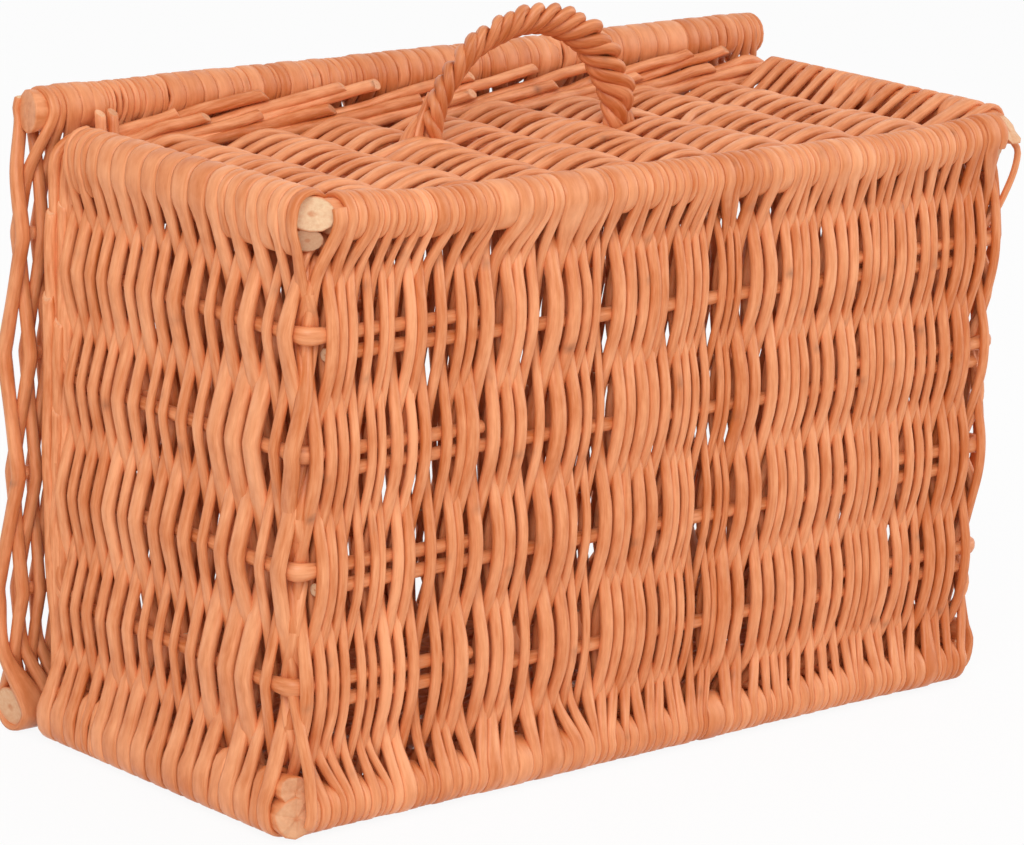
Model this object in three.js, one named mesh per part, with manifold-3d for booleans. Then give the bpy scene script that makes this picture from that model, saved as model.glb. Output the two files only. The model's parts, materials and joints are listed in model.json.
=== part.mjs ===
// Lidded willow hamper, standing on its hinge wall with the handle on top.
// Millimetres, +Z up. X runs along the length, and Y from the base to the lid.
// The origin lies on the ground, under the middle of the hamper.

import * as THREE from 'three';
import Module from 'manifold-3d';

const wasm = await Module();
wasm.setup();

// Basket frame
const postSpacing = 405;
const wallSpacing = 240;
const stakeTop = 150;
const postNose = 8;
const baseStickCount = 4;
const longStakeCount = 8;
const stakeInsert = 95;
const baseEndMargin = 6;

// Rods, by radius
const edgeStickRadius = 7;
const baseStickRadius = 4;
const postRadius = 6;
const stakeRadius = 4;
const lidStickRadius = 4.2;
const borderRodRadius = 3.5;

// Weavers, as flat sets of rods laid side by side
const weaverThickness = 4;
const panelPitch = 15;
const panelGap = 0.6;
const wallPitch = 13.5;
const wallGap = 2.4;
const postBandShare = 0.8;
const besidePostShare = 0.6;
const squeezedShare = 0.3;

// Rim border
const rimGap = 4.4;
const borderLean = 3;
const borderClimb = 4;
const borderReach = 1.6;

// Lid and its willow loops
const lidEndOverhang = 14.5;
const lidOverhang = 18;
const lidClearance = 0.5;
const lidEndMargin = 3;
const lidStickCount = 4;
const loopRadius = 1.6;
const loopFit = 0.35;
const loopSlotClearance = 0.6;
const loopBay = 1;

// Handle
const handleRise = 52;
const ropeRadius = 6.5;
const ropeTipRadius = 4.5;
const ropeTaper = 14;
const ropeTurns = 2.5;
const ropeStrands = 3;
const ropeGroove = 0.24;
const handleStake = 3;
const handleDepth = 100;

// Fits and facets
const fit = 0.3;
const roundSides = 8;
const thinSides = 6;
const loopSteps = 6;
const ropeSteps = 22;
const ropeSides = 12;

const halfFacet = Math.PI / roundSides;

// Distance from the axis of an octagonal rod to its flats.
function flat(radius) {
  return radius * Math.cos(halfFacet);
}

const postX = postSpacing / 2;
const panelHeight = flat(edgeStickRadius) + fit + weaverThickness / 2;
const panelReach = panelHeight + weaverThickness / 2;
const hingeWallZ = panelReach;
const handleWallZ = hingeWallZ + wallSpacing;
const middleZ = (hingeWallZ + handleWallZ) / 2;

const borderLow = stakeTop + fit;
const borderHalf = borderLean + borderRodRadius;
const rimTop = borderLow + 2 * borderRodRadius + borderClimb;

const lidPlane = rimTop + lidClearance + panelReach;
const lidLength = postSpacing + 2 * lidEndOverhang;
const lidHeight = wallSpacing + lidOverhang;
const overallMiddle = lidPlane / 2;

// Places along one side that divide a length into equal bays, ends left out.
function evenly(count, length) {
  return Array.from({ length: count }, (_, i) => ((i + 1) / (count + 1) - 0.5) * length);
}

// Middles of equal rows that fill the stretch from one place to another.
function rowsBetween(from, to, count) {
  const pitch = (to - from) / count;
  return Array.from({ length: count }, (_, i) => ({ at: from + (i + 0.5) * pitch, pitch }));
}

function nearestEven(value) {
  return Math.max(2, 2 * Math.round(value / 2));
}

function nearestOdd(value) {
  return Math.max(1, 2 * Math.round((value - 1) / 2) + 1);
}

// Closed surface through rings of points, capped at both ends or joined into a loop.
function skin(rings, looped = false) {
  const sides = rings[0].length;
  const points = rings.flat();
  const index = [];
  const spans = looped ? rings.length : rings.length - 1;
  for (let i = 0; i < spans; i += 1) {
    const here = i * sides;
    const next = ((i + 1) % rings.length) * sides;
    for (let j = 0; j < sides; j += 1) {
      const k = (j + 1) % sides;
      index.push(here + j, here + k, next + k);
      index.push(here + j, next + k, next + j);
    }
  }
  if (!looped) {
    const last = (rings.length - 1) * sides;
    for (let j = 1; j < sides - 1; j += 1) {
      index.push(0, j + 1, j);
      index.push(last, last + j, last + j + 1);
    }
  }
  if (signedVolume(points, index) < 0) {
    index.reverse();
  }
  const geometry = new THREE.BufferGeometry();
  geometry.setFromPoints(points);
  geometry.setIndex(index);
  return geometry;
}

function signedVolume(points, index) {
  const cross = new THREE.Vector3();
  let sum = 0;
  for (let i = 0; i < index.length; i += 3) {
    cross.crossVectors(points[index[i + 1]], points[index[i + 2]]);
    sum += points[index[i]].dot(cross);
  }
  return sum;
}

// Section outline swept along a path that lies square to the given direction, mitred at the bends.
function sweep(path, across, outline, looped = false) {
  const count = path.length;
  const rings = path.map((point, i) => {
    const before = looped ? path[(i + count - 1) % count] : path[Math.max(i - 1, 0)];
    const after = looped ? path[(i + 1) % count] : path[Math.min(i + 1, count - 1)];
    const arriving = point.clone().sub(before).normalize();
    const leaving = after.clone().sub(point).normalize();
    const along = arriving.clone().add(leaving).normalize();
    const mitre = arriving.lengthSq() && leaving.lengthSq() ? 1 / along.dot(leaving) : 1;
    const side = new THREE.Vector3().crossVectors(along, across).normalize();
    const up = new THREE.Vector3().crossVectors(side, along);
    return outline(i).map(([a, b]) => point.clone().addScaledVector(up, a).addScaledVector(side, b * mitre));
  });
  return skin(rings, looped);
}

function polygon(radius, sides) {
  return Array.from({ length: sides }, (_, i) => {
    const angle = ((i + 0.5) / sides) * 2 * Math.PI;
    return [radius * Math.cos(angle), radius * Math.sin(angle)];
  });
}

function rod(path, radius, across, sides = roundSides) {
  const outline = polygon(radius, sides);
  return sweep(path, across, () => outline);
}

const alongX = new THREE.Vector3(1, 0, 0);
const alongZ = new THREE.Vector3(0, 0, 1);

function stickAlongX(halfLength, y, z, radius) {
  const path = [new THREE.Vector3(-halfLength, y, z), new THREE.Vector3(halfLength, y, z)];
  return rod(path, radius, alongZ);
}

function stakeAlongY(from, to, x, z, radius) {
  const path = [new THREE.Vector3(x, from, z), new THREE.Vector3(x, to, z)];
  return rod(path, radius, alongZ);
}

// Straight run of a weaver beside an end stick, before it starts to turn.
function straightRun(sticks, fullTurn) {
  const height = flat(sticks[0].radius) + fit + weaverThickness / 2;
  return fullTurn ? height + weaverThickness / 2 + fit : height * Math.tan(halfFacet);
}

// Height of the weavers' middle above the stick plane at each stick, so that the sloping weavers clear it.
function crossingHeights(sticks, fullTurn) {
  const last = sticks.length - 1;
  const edgeRun = straightRun(sticks, fullTurn);
  const heights = sticks.map((stick) => flat(stick.radius) + fit + weaverThickness / 2);
  const settlingPasses = 8;
  for (let pass = 0; pass < settlingPasses; pass += 1) {
    for (let i = 1; i < last; i += 1) {
      const slopes = [i - 1, i + 1].map((j) => {
        const straight = j === 0 || j === last ? edgeRun : 0;
        return (heights[i] + heights[j]) / (Math.abs(sticks[i].at - sticks[j].at) - straight);
      });
      const slope = Math.max(...slopes);
      const cleared = slope * (sticks[i].spread ?? 0) + sticks[i].radius * Math.hypot(1, slope);
      heights[i] = cleared + fit + weaverThickness / 2;
    }
  }
  return heights;
}

// Side of a stick on which a row passes: 1 outside, -1 inside.
function sideOf(firstSide, row, stick) {
  return (row + stick) % 2 === 0 ? firstSide : -firstSide;
}

// One unbroken weaver that runs over and under the sticks, turns round the last one and runs back.
// Rows lie along u, sticks along v, and w points out of the panel. A full turn winds the end stick
// once more on the way, so that its bands lie close beside each other.
function weave({ rows, gap, sticks, firstSide, fullTurn, place }) {
  const last = sticks.length - 1;
  const edgeRun = straightRun(sticks, fullTurn);
  const heights = crossingHeights(sticks, fullTurn);
  const rings = [];
  const halfSteps = roundSides / 2;
  const addRing = (u, v, w, width, normal, depth) => {
    const corner = (a, b) => place(u + (a * width) / 2, v + b * normal[0] * depth, w + b * normal[1] * depth);
    rings.push([corner(-1, -1), corner(1, -1), corner(1, 1), corner(-1, 1)]);
  };
  const addTurnRing = (turn, angle, u, width) => {
    const { stick, out, side, height } = turn;
    const radial = [out * Math.sin(angle), side * Math.cos(angle)];
    const grow = 1 / Math.cos(halfFacet);
    const normal = radial.map((value) => value * side * out);
    const v = stick.at + radial[0] * height * grow;
    addRing(u, v, radial[1] * height * grow, width, normal, (weaverThickness / 2) * grow);
  };
  const addHalfTurn = (turn, fromU, toU, widthAt) => {
    for (let step = 0; step < halfSteps; step += 1) {
      const share = step / (halfSteps - 1);
      addTurnRing(turn, (2 * step + 1) * halfFacet, fromU + share * (toU - fromU), widthAt(step));
    }
  };
  const addUnderpass = (turn, fromU, toU, width) => {
    const squeezed = width * squeezedShare;
    for (let step = 0; step < halfSteps; step += 1) {
      const share = step / (halfSteps - 1);
      const narrow = step > 0 && step < halfSteps - 1;
      const angle = Math.PI + (2 * step + 1) * halfFacet;
      addTurnRing(turn, angle, fromU + share * (toU - fromU), narrow ? squeezed : width);
    }
  };
  rows.forEach((row, k) => {
    const width = row.pitch - gap;
    const forward = k % 2 === 0;
    const out = forward ? 1 : -1;
    const order = forward ? [...sticks.keys()] : [...sticks.keys()].reverse();
    order.forEach((j) => {
      const side = sideOf(firstSide, k, j);
      const isEnd = j === 0 || j === last;
      const isTip = (k === 0 && j === order[0]) || (k === rows.length - 1 && j === order[last]);
      const inward = j === 0 ? 1 : -1;
      const v = sticks[j].at;
      const addFlat = (atV, atWidth) => {
        addRing(row.at, atV, side * heights[j], atWidth, [0, out], weaverThickness / 2);
      };
      if (!isEnd) {
        addFlat(v, width);
      }
      const besidePost = width * (side > 0 ? besidePostShare : squeezedShare);
      const endWidth = fullTurn ? width : besidePost;
      if (isTip && j === order[0]) {
        addFlat(v, endWidth);
      }
      if (isEnd) {
        addFlat(v + inward * edgeRun, endWidth);
      }
      if (isTip && j === order[last]) {
        addFlat(v, endWidth);
      }
    });
    const next = rows[k + 1];
    if (!next) return;
    const end = forward ? last : 0;
    const turn = { stick: sticks[end], out, side: sideOf(firstSide, k, end), height: heights[end] };
    if (fullTurn) {
      addHalfTurn(turn, row.at, row.at, () => width);
      addUnderpass(turn, row.at, next.at, width);
      addHalfTurn(turn, next.at, next.at, () => next.pitch - gap);
    } else {
      const innerStep = turn.side > 0 ? halfSteps - 1 : 0;
      const bandWidth = (step) => width * (step === innerStep ? squeezedShare : postBandShare);
      addHalfTurn(turn, row.at, next.at, bandWidth);
    }
  });
  return skin(rings);
}

function toManifold(geometry) {
  const vertProperties = new Float32Array(geometry.attributes.position.array);
  const triVerts = new Uint32Array(geometry.index.array);
  return new wasm.Manifold(new wasm.Mesh({ numProp: 3, vertProperties, triVerts }));
}

function joined(geometries) {
  const [first, ...rest] = geometries.map(toManifold);
  const mesh = rest.reduce((sum, item) => sum.add(item), first).getMesh();
  const geometry = new THREE.BufferGeometry();
  geometry.setAttribute('position', new THREE.Float32BufferAttribute(mesh.vertProperties, 3));
  geometry.setIndex(Array.from(mesh.triVerts));
  return geometry;
}

const willow = { color: 0xdc8f5f, roughness: 0.55, metalness: 0 };
const paleWillow = { color: 0xe6a678, roughness: 0.6, metalness: 0 };
const deepWillow = { color: 0xcf7d4b, roughness: 0.55, metalness: 0 };

function addPiece(group, name, geometry, finish) {
  geometry.computeVertexNormals();
  const mesh = new THREE.Mesh(geometry, new THREE.MeshStandardMaterial(finish));
  mesh.name = name;
  group.add(mesh);
}

const basket = new THREE.Group();
const lid = new THREE.Group();

// Base: two edge sticks, and pairs of a base stick and an end stake pushed in beside it.
const pairGap = baseStickRadius + stakeRadius + fit;
const pairMiddles = evenly(baseStickCount, wallSpacing).map((z) => middleZ + z);
const edgeStickHalf = postX - postRadius - fit;
for (const [level, z] of [['upper', handleWallZ], ['lower', hingeWallZ]]) {
  const stick = stickAlongX(edgeStickHalf, 0, z, edgeStickRadius);
  addPiece(basket, `base_edge_stick_${level}`, stick, willow);
}
pairMiddles.forEach((z, i) => {
  const stick = stickAlongX(postX, 0, z - pairGap / 2, baseStickRadius);
  addPiece(basket, `base_stick_${i + 1}`, stick, deepWillow);
});

const basePairs = pairMiddles.map((at) => {
  return { at, radius: Math.max(baseStickRadius, stakeRadius), spread: pairGap / 2 };
});
const baseHalfWidth = edgeStickHalf - baseEndMargin;
addPiece(basket, 'base_weave', weave({
  rows: rowsBetween(-baseHalfWidth, baseHalfWidth, nearestEven((2 * baseHalfWidth) / panelPitch)),
  gap: panelGap,
  sticks: [
    { at: hingeWallZ, radius: edgeStickRadius },
    ...basePairs,
    { at: handleWallZ, radius: edgeStickRadius },
  ],
  firstSide: 1,
  fullTurn: true,
  place: (u, v, w) => new THREE.Vector3(u, -w, v),
}), willow);

// Corner posts
for (const [level, z] of [['upper', handleWallZ], ['lower', hingeWallZ]]) {
  for (const [hand, x] of [['left', -postX], ['right', postX]]) {
    const post = stakeAlongY(-postNose, stakeTop, x, z, postRadius);
    addPiece(basket, `corner_post_${level}_${hand}`, post, paleWillow);
  }
}

// End stakes, kinked where they turn up from the base
const endStakeZ = pairMiddles.map((z) => z + pairGap / 2);
for (const [hand, sign] of [['left', -1], ['right', 1]]) {
  endStakeZ.forEach((z, i) => {
    const kink = stakeRadius / 2;
    const path = [
      new THREE.Vector3(sign * (postX - stakeInsert), 0, z),
      new THREE.Vector3(sign * (postX - kink), 0, z),
      new THREE.Vector3(sign * postX, kink, z),
      new THREE.Vector3(sign * postX, stakeTop, z),
    ];
    addPiece(basket, `end_stake_${hand}_${i + 1}`, rod(path, stakeRadius, alongZ), deepWillow);
  });
}

// Stakes of the long walls
const longStakeX = evenly(longStakeCount, postSpacing);
for (const [wall, z] of [['handle', handleWallZ], ['hinge', hingeWallZ]]) {
  longStakeX.forEach((x, i) => {
    const stake = stakeAlongY(panelReach + fit, stakeTop, x, z, stakeRadius);
    addPiece(basket, `${wall}_wall_stake_${i + 1}`, stake, deepWillow);
  });
}

// Wall weavers. Each wall is the one before it turned a quarter round the basket, and the bands of
// the end walls lie on the corner posts between those of the long walls.
const legRadius = Math.max(stakeRadius, baseStickRadius);
const wallStart = Math.max(panelReach + fit, legRadius + fit + wallPitch / 2);
const wallRowCount = Math.round((stakeTop - rimGap - wallStart) / wallPitch);
const longRows = rowsBetween(wallStart, stakeTop - rimGap, wallRowCount);
const endRows = longRows.map(({ at, pitch }) => ({ at: at - pitch / 2, pitch }));

function wallSticks(stakes, halfSpan) {
  return [
    { at: -halfSpan, radius: postRadius },
    ...stakes.map((at) => ({ at, radius: stakeRadius })),
    { at: halfSpan, radius: postRadius },
  ];
}

const handleWallSticks = wallSticks(longStakeX, postX);
const handleWallSide = 1;
addPiece(basket, 'handle_wall_weave', weave({
  rows: longRows,
  gap: wallGap,
  sticks: handleWallSticks,
  firstSide: handleWallSide,
  fullTurn: false,
  place: (u, v, w) => new THREE.Vector3(v, u, handleWallZ + w),
}), willow);
addPiece(basket, 'hinge_wall_weave', weave({
  rows: longRows,
  gap: wallGap,
  sticks: handleWallSticks,
  firstSide: handleWallSide,
  fullTurn: false,
  place: (u, v, w) => new THREE.Vector3(-v, u, hingeWallZ - w),
}), willow);
const endStakeV = endStakeZ.map((z) => z - middleZ);
addPiece(basket, 'right_end_weave', weave({
  rows: endRows,
  gap: wallGap,
  sticks: wallSticks(endStakeV, wallSpacing / 2),
  firstSide: -1,
  fullTurn: false,
  place: (u, v, w) => new THREE.Vector3(postX + w, u, middleZ + v),
}), willow);
addPiece(basket, 'left_end_weave', weave({
  rows: endRows,
  gap: wallGap,
  sticks: wallSticks(endStakeV.map((v) => -v).reverse(), wallSpacing / 2),
  firstSide: -1,
  fullTurn: false,
  place: (u, v, w) => new THREE.Vector3(-postX - w, u, middleZ - v),
}), willow);

// Rim border: the stakes' ends laid over one another along the rim, each leaning out to its cut tip.
function borderSide(starts, halfLength, bay, place, across) {
  const height = borderLow + borderRodRadius;
  const line = (from, to) => rod([from, to], borderRodRadius, across, thinSides);
  const rods = starts.map((s) => {
    const tip = Math.min(s + borderReach * bay, halfLength);
    const share = (tip - s) / (borderReach * bay);
    return line(
      place(s, -borderLean, height),
      place(tip, (2 * share - 1) * borderLean, height + share * borderClimb),
    );
  });
  const core = line(place(-halfLength, 0, height), place(halfLength, 0, height));
  return joined([core, ...rods]);
}

const longBay = postSpacing / (longStakeCount + 1);
const longBorderHalf = postX + borderHalf;
const longBorderStarts = [-postX, ...longStakeX];
for (const [wall, z, out] of [['handle', handleWallZ, 1], ['hinge', hingeWallZ, -1]]) {
  const place = (s, n, h) => new THREE.Vector3(s, h, z + out * n);
  const border = borderSide(longBorderStarts, longBorderHalf, longBay, place, alongZ);
  addPiece(basket, `rim_border_${wall}_side`, border, willow);
}
const endBay = wallSpacing / (baseStickCount + 1);
const endBorderHalf = wallSpacing / 2 - borderHalf - fit;
const endBorderStarts = [-endBorderHalf, ...endStakeV.filter((v) => v < endBorderHalf)];
for (const [hand, out] of [['left', -1], ['right', 1]]) {
  const place = (s, n, h) => new THREE.Vector3(out * (postX + n), h, middleZ + s);
  const border = borderSide(endBorderStarts, endBorderHalf, endBay, place, alongX);
  addPiece(basket, `rim_border_${hand}`, border, willow);
}

// Twisted handle, seated beside two stakes of the handle wall
const nearestRow = Math.round((handleDepth - longRows[0].at) / longRows[0].pitch);
const handleRow = Math.min(nearestRow, longRows.length - 1);
const handleY = longRows[handleRow].at;
const rightHandleStake = longStakeCount + 1 - handleStake;
const wallHeights = crossingHeights(handleWallSticks, false);

function handleSeat(stake) {
  const covered = sideOf(handleWallSide, handleRow, stake) > 0;
  const top = covered ? wallHeights[stake] + weaverThickness / 2 : flat(stakeRadius);
  return handleWallZ + top + fit;
}

function ropeOutline(radius, turn) {
  return Array.from({ length: ropeSides }, (_, i) => {
    const angle = (i / ropeSides) * 2 * Math.PI;
    const lobe = 1 - ropeGroove * (0.5 - 0.5 * Math.cos(ropeStrands * angle));
    return [radius * lobe * Math.cos(angle + turn), radius * lobe * Math.sin(angle + turn)];
  });
}

function handleRope() {
  const footX = longStakeX[rightHandleStake - 1] - ropeTipRadius;
  const crownZ = handleWallZ + handleRise;
  const springZ = handleWallZ + wallHeights[handleStake] + weaverThickness / 2 + ropeTaper;
  const path = [new THREE.Vector3(-footX, handleY, handleSeat(handleStake))];
  for (let i = 0; i <= ropeSteps; i += 1) {
    const angle = Math.PI * (1 - i / ropeSteps);
    const z = springZ + (crownZ - springZ) * Math.sin(angle);
    path.push(new THREE.Vector3(footX * Math.cos(angle), handleY, z));
  }
  path.push(new THREE.Vector3(footX, handleY, handleSeat(rightHandleStake)));
  const lastRing = path.length - 1;
  return sweep(path, new THREE.Vector3(0, 1, 0), (i) => {
    const radius = i === 0 || i === lastRing ? ropeTipRadius : ropeRadius;
    return ropeOutline(radius, (i / lastRing) * ropeTurns * 2 * Math.PI);
  });
}

addPiece(basket, 'handle', handleRope(), deepWillow);

// Hinge loops: willow rings kinked round the rim border and turned round the lid's hinge stick
const loopX = (longStakeX[loopBay] + longStakeX[loopBay - 1]) / 2;
const loopHeight = edgeStickRadius + loopFit + loopRadius;

function hingeLoop(x) {
  const path = [];
  const half = Math.PI / (2 * loopSteps);
  for (let i = 0; i < loopSteps; i += 1) {
    const angle = (2 * i + 1) * half - Math.PI / 2;
    const reach = loopHeight / Math.cos(half);
    path.push([lidPlane + reach * Math.cos(angle), reach * Math.sin(angle)]);
  }
  const backY = stakeTop - rimGap / 2;
  const corner = loopRadius;
  path.push([backY + corner, loopHeight], [backY, loopHeight - corner]);
  path.push([backY, corner - loopHeight], [backY + corner, -loopHeight]);
  const points = path.map(([y, z]) => new THREE.Vector3(x, y, hingeWallZ + z));
  const outline = polygon(loopRadius, thinSides);
  return sweep(points, alongX, () => outline, true);
}

addPiece(basket, 'hinge_loop_left', hingeLoop(loopX), paleWillow);
addPiece(basket, 'hinge_loop_right', hingeLoop(-loopX), paleWillow);

// Lid: built round its own stick plane, and slotted where the loops pass
const lidHalf = lidLength / 2;
addPiece(lid, 'lid_hinge_stick', stickAlongX(lidHalf, 0, hingeWallZ, edgeStickRadius), willow);
addPiece(lid, 'lid_front_stick', stickAlongX(lidHalf, 0, hingeWallZ + lidHeight, edgeStickRadius), willow);
const lidStickZ = evenly(lidStickCount, lidHeight).map((z) => hingeWallZ + lidHeight / 2 + z);
lidStickZ.forEach((z, i) => {
  addPiece(lid, `lid_stick_${i + 1}`, stickAlongX(lidHalf, 0, z, lidStickRadius), deepWillow);
});

const slotHalf = loopRadius + loopSlotClearance;
const innerSlot = -loopX - slotHalf;
const outerSlot = -loopX + slotHalf;
const lidWeaveHalf = lidHalf - lidEndMargin;
const sideRowCount = nearestOdd((lidWeaveHalf - outerSlot) / panelPitch);
const middleRowCount = nearestEven((2 * innerSlot) / panelPitch);
addPiece(lid, 'lid_weave', weave({
  rows: [
    ...rowsBetween(-lidWeaveHalf, -outerSlot, sideRowCount),
    ...rowsBetween(-innerSlot, innerSlot, middleRowCount),
    ...rowsBetween(outerSlot, lidWeaveHalf, sideRowCount),
  ],
  gap: panelGap,
  sticks: [
    { at: hingeWallZ, radius: edgeStickRadius },
    ...lidStickZ.map((at) => ({ at, radius: lidStickRadius })),
    { at: hingeWallZ + lidHeight, radius: edgeStickRadius },
  ],
  firstSide: 1,
  fullTurn: true,
  place: (u, v, w) => new THREE.Vector3(u, w, v),
}), willow);
lid.position.y = lidPlane;

const hamper = new THREE.Group();
hamper.add(basket, lid);
hamper.position.y = -overallMiddle;

export default hamper;
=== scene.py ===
"""Dresses the lidded willow hamper: sticks, stakes, weaves, rim border, handle and lid loops."""

import json
import math
from collections import namedtuple

import bmesh
import bpy
import numpy as np
from bpy.props import FloatProperty, FloatVectorProperty, IntProperty, PointerProperty
from mathutils import Matrix, Vector

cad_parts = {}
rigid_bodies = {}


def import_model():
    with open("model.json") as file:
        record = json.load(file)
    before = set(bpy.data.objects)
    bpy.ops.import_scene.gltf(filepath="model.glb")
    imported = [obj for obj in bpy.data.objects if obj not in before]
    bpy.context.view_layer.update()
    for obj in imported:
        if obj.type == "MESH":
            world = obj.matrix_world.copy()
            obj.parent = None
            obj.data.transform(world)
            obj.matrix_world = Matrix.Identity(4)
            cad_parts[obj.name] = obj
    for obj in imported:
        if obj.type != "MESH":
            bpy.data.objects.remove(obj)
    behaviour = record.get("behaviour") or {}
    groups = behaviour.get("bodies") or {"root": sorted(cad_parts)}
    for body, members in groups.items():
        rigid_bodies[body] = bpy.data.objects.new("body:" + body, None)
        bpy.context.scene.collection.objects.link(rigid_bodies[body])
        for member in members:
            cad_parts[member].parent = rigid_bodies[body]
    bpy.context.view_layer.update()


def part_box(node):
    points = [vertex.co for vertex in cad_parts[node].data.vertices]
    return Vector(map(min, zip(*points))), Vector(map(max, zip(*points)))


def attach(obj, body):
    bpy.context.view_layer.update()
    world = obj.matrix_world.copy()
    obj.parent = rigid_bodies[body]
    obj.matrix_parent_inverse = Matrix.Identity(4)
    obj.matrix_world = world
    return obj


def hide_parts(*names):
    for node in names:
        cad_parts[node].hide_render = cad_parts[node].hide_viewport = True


for leftover in list(bpy.data.objects):
    bpy.data.objects.remove(leftover)
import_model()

bl_info = {
    "name": "Willow Hamper",
    "version": (1, 0, 0),
    "blender": (4, 5, 0),
    "location": "3D View > Sidebar > Hamper",
    "description": "Weaves a lidded willow hamper over its packed frame and sets its stage",
    "category": "Add Mesh",
}

MM = 0.001


def middle(node):
    """Middle of a node of the frame, in millimetres."""
    low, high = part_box(node)
    return np.array((low + high) / 2) / MM


def low_corner(node):
    return np.array(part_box(node)[0]) / MM


def high_corner(node):
    return np.array(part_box(node)[1]) / MM


def in_mm(*lengths):
    return [length / MM for length in lengths]


def numbered(stem, count):
    return [f"{stem}_{i + 1}" for i in range(count)]


BASE_STICKS = numbered("base_stick", 4)
LID_STICKS = numbered("lid_stick", 4)
LEFT_STAKES = numbered("end_stake_left", 4)
RIGHT_STAKES = numbered("end_stake_right", 4)
HANDLE_STAKES = numbered("handle_wall_stake", 8)
HINGE_STAKES = numbered("hinge_wall_stake", 8)

# The walls in the order in which the weavers go round. Each post is the one at which its wall starts.
HANDLE_WALL, RIGHT_WALL, HINGE_WALL, LEFT_WALL = range(4)
END_WALLS = (RIGHT_WALL, LEFT_WALL)
POSTS = [
    "corner_post_upper_left",
    "corner_post_upper_right",
    "corner_post_lower_right",
    "corner_post_lower_left",
]
WALL_STAKES = [HANDLE_STAKES, RIGHT_STAKES[::-1], HINGE_STAKES[::-1], LEFT_STAKES]
WALL_HEADINGS = [(1, 0), (0, -1), (-1, 0), (0, 1)]
WALL_WEAVES = ["handle_wall_weave", "right_end_weave", "hinge_wall_weave", "left_end_weave"]
BORDERS = ["rim_border_handle_side", "rim_border_right", "rim_border_hinge_side", "rim_border_left"]


def turned_left(heading):
    return np.array([-heading[1], heading[0]])


def stake_at(stake, wall_x):
    """Where a stake stands among the posts, as x and z. The bends of end stakes don't count."""
    x, _, z = middle(stake)
    return np.array([wall_x if "end_stake" in stake else x, z])


def length_setting(name, description, millimetres):
    return FloatProperty(name=name, description=description, default=millimetres * MM, unit="LENGTH")


def share_setting(name, description, share):
    return FloatProperty(name=name, description=description, default=share, subtype="FACTOR")


def power_setting(name, description, watts):
    return FloatProperty(name=name, description=description, default=watts, subtype="POWER")


def colour_setting(name, description, colour):
    return FloatVectorProperty(name=name, description=description, default=colour, subtype="COLOR")


class WeaverSizes(bpy.types.PropertyGroup):
    """Sizes of the rods that are woven."""

    width: length_setting("Width", "Width of a middling weaver", 5.2)
    thickness: length_setting("Thickness", "Thickness of a middling weaver", 4.1)
    panel_pitch: length_setting("Base row pitch", "Row spacing in the base", 3.75)
    lid_pitch: length_setting("Lid row pitch", "Row spacing in the lid", 4.25)
    wall_pitch: length_setting("Wall row pitch", "Row spacing in the walls", 4.9)
    wander: length_setting("Wander", "How far a row strays sideways", 0.6)
    unevenness: share_setting("Unevenness", "Spread of rod thickness", 0.23)
    rows_per_rod: IntProperty(name="Rows per rod", description="Panel rows that one rod lasts", default=5)
    second_wraps: share_setting("Second wraps", "Share of turns that go twice round an edge stick", 0.55)


class StickSizes(bpy.types.PropertyGroup):
    """Sizes of the sticks, posts and stakes."""

    edge_radius: length_setting("Base edge radius", "Sticks along the base's edges", 7.2)
    lid_edge_radius: length_setting("Lid edge radius", "Sticks along the lid's edges", 7.5)
    stick_radius: length_setting("Stick radius", "Inner sticks and stakes", 2.9)
    post_radius: length_setting("Post radius", "Heavier stick of a corner post", 7.4)
    second_radius: length_setting("Second radius", "Lighter stick of a corner post", 5.0)


class BorderSizes(bpy.types.PropertyGroup):
    """Sizes of the rod border along the rim."""

    radius: length_setting("Rod radius", "Border rods", 2.85)
    reach: length_setting("Reach", "Length from the stake to the trimmed tip", 132)
    lift: length_setting("Lift", "How far a tip stands out of the handle wall", 18.5)


class HandleSizes(bpy.types.PropertyGroup):
    """Sizes of the plaited handle."""

    strand_radius: length_setting("Strand radius", "Each strand of the plait", 2.8)
    plait_reach: length_setting("Plait reach", "From the seam to strand middles at the outer edge", 10.0)
    plait_depth: length_setting("Plait depth", "Half the plait's depth, to strand middles", 2.7)
    plait_length: length_setting("Plait length", "Length in which a strand comes round", 22.0)


class WillowColours(bpy.types.PropertyGroup):
    """Colours of boiled willow."""

    buff: colour_setting("Buff", "Light rods", (0.93, 0.395, 0.18))
    russet: colour_setting("Russet", "Dark rods", (0.62, 0.165, 0.038))
    scar: colour_setting("Bud scar", "Small marks where buds were", (0.22, 0.07, 0.03))
    pith: colour_setting("Cut end", "Fresh cut wood", (0.87, 0.62, 0.38))


class StageSettings(bpy.types.PropertyGroup):
    """Light round the hamper."""

    key_power: power_setting("Key power", "Large lamp on the upper left", 18)
    fill_power: power_setting("Fill power", "Large lamp on the right", 7)
    surround: FloatProperty(name="Surround", description="Even light from all round", default=0.68)


class HamperSettings(bpy.types.PropertyGroup):
    """All that can be set on the hamper."""

    weavers: PointerProperty(type=WeaverSizes)
    sticks: PointerProperty(type=StickSizes)
    border: PointerProperty(type=BorderSizes)
    handle: PointerProperty(type=HandleSizes)
    colours: PointerProperty(type=WillowColours)
    stage: PointerProperty(type=StageSettings)


def settings():
    return bpy.context.scene.hamper


# Curves and swept rods, all in millimetres

NO_LENGTH = 1e-9
SHORTEST_CHORD = 1e-6


def unit(v):
    return v / np.maximum(np.linalg.norm(v, axis=-1, keepdims=True), NO_LENGTH)


def ramp(t):
    """Eases from 0 to 1 as t goes from 0 to 1."""
    t = np.clip(t, 0, 1)
    return t * t * (3 - 2 * t)


def rounded(wave, power):
    """A sine or cosine, made fuller by a power below one."""
    return np.sign(wave) * np.abs(wave) ** power


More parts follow.
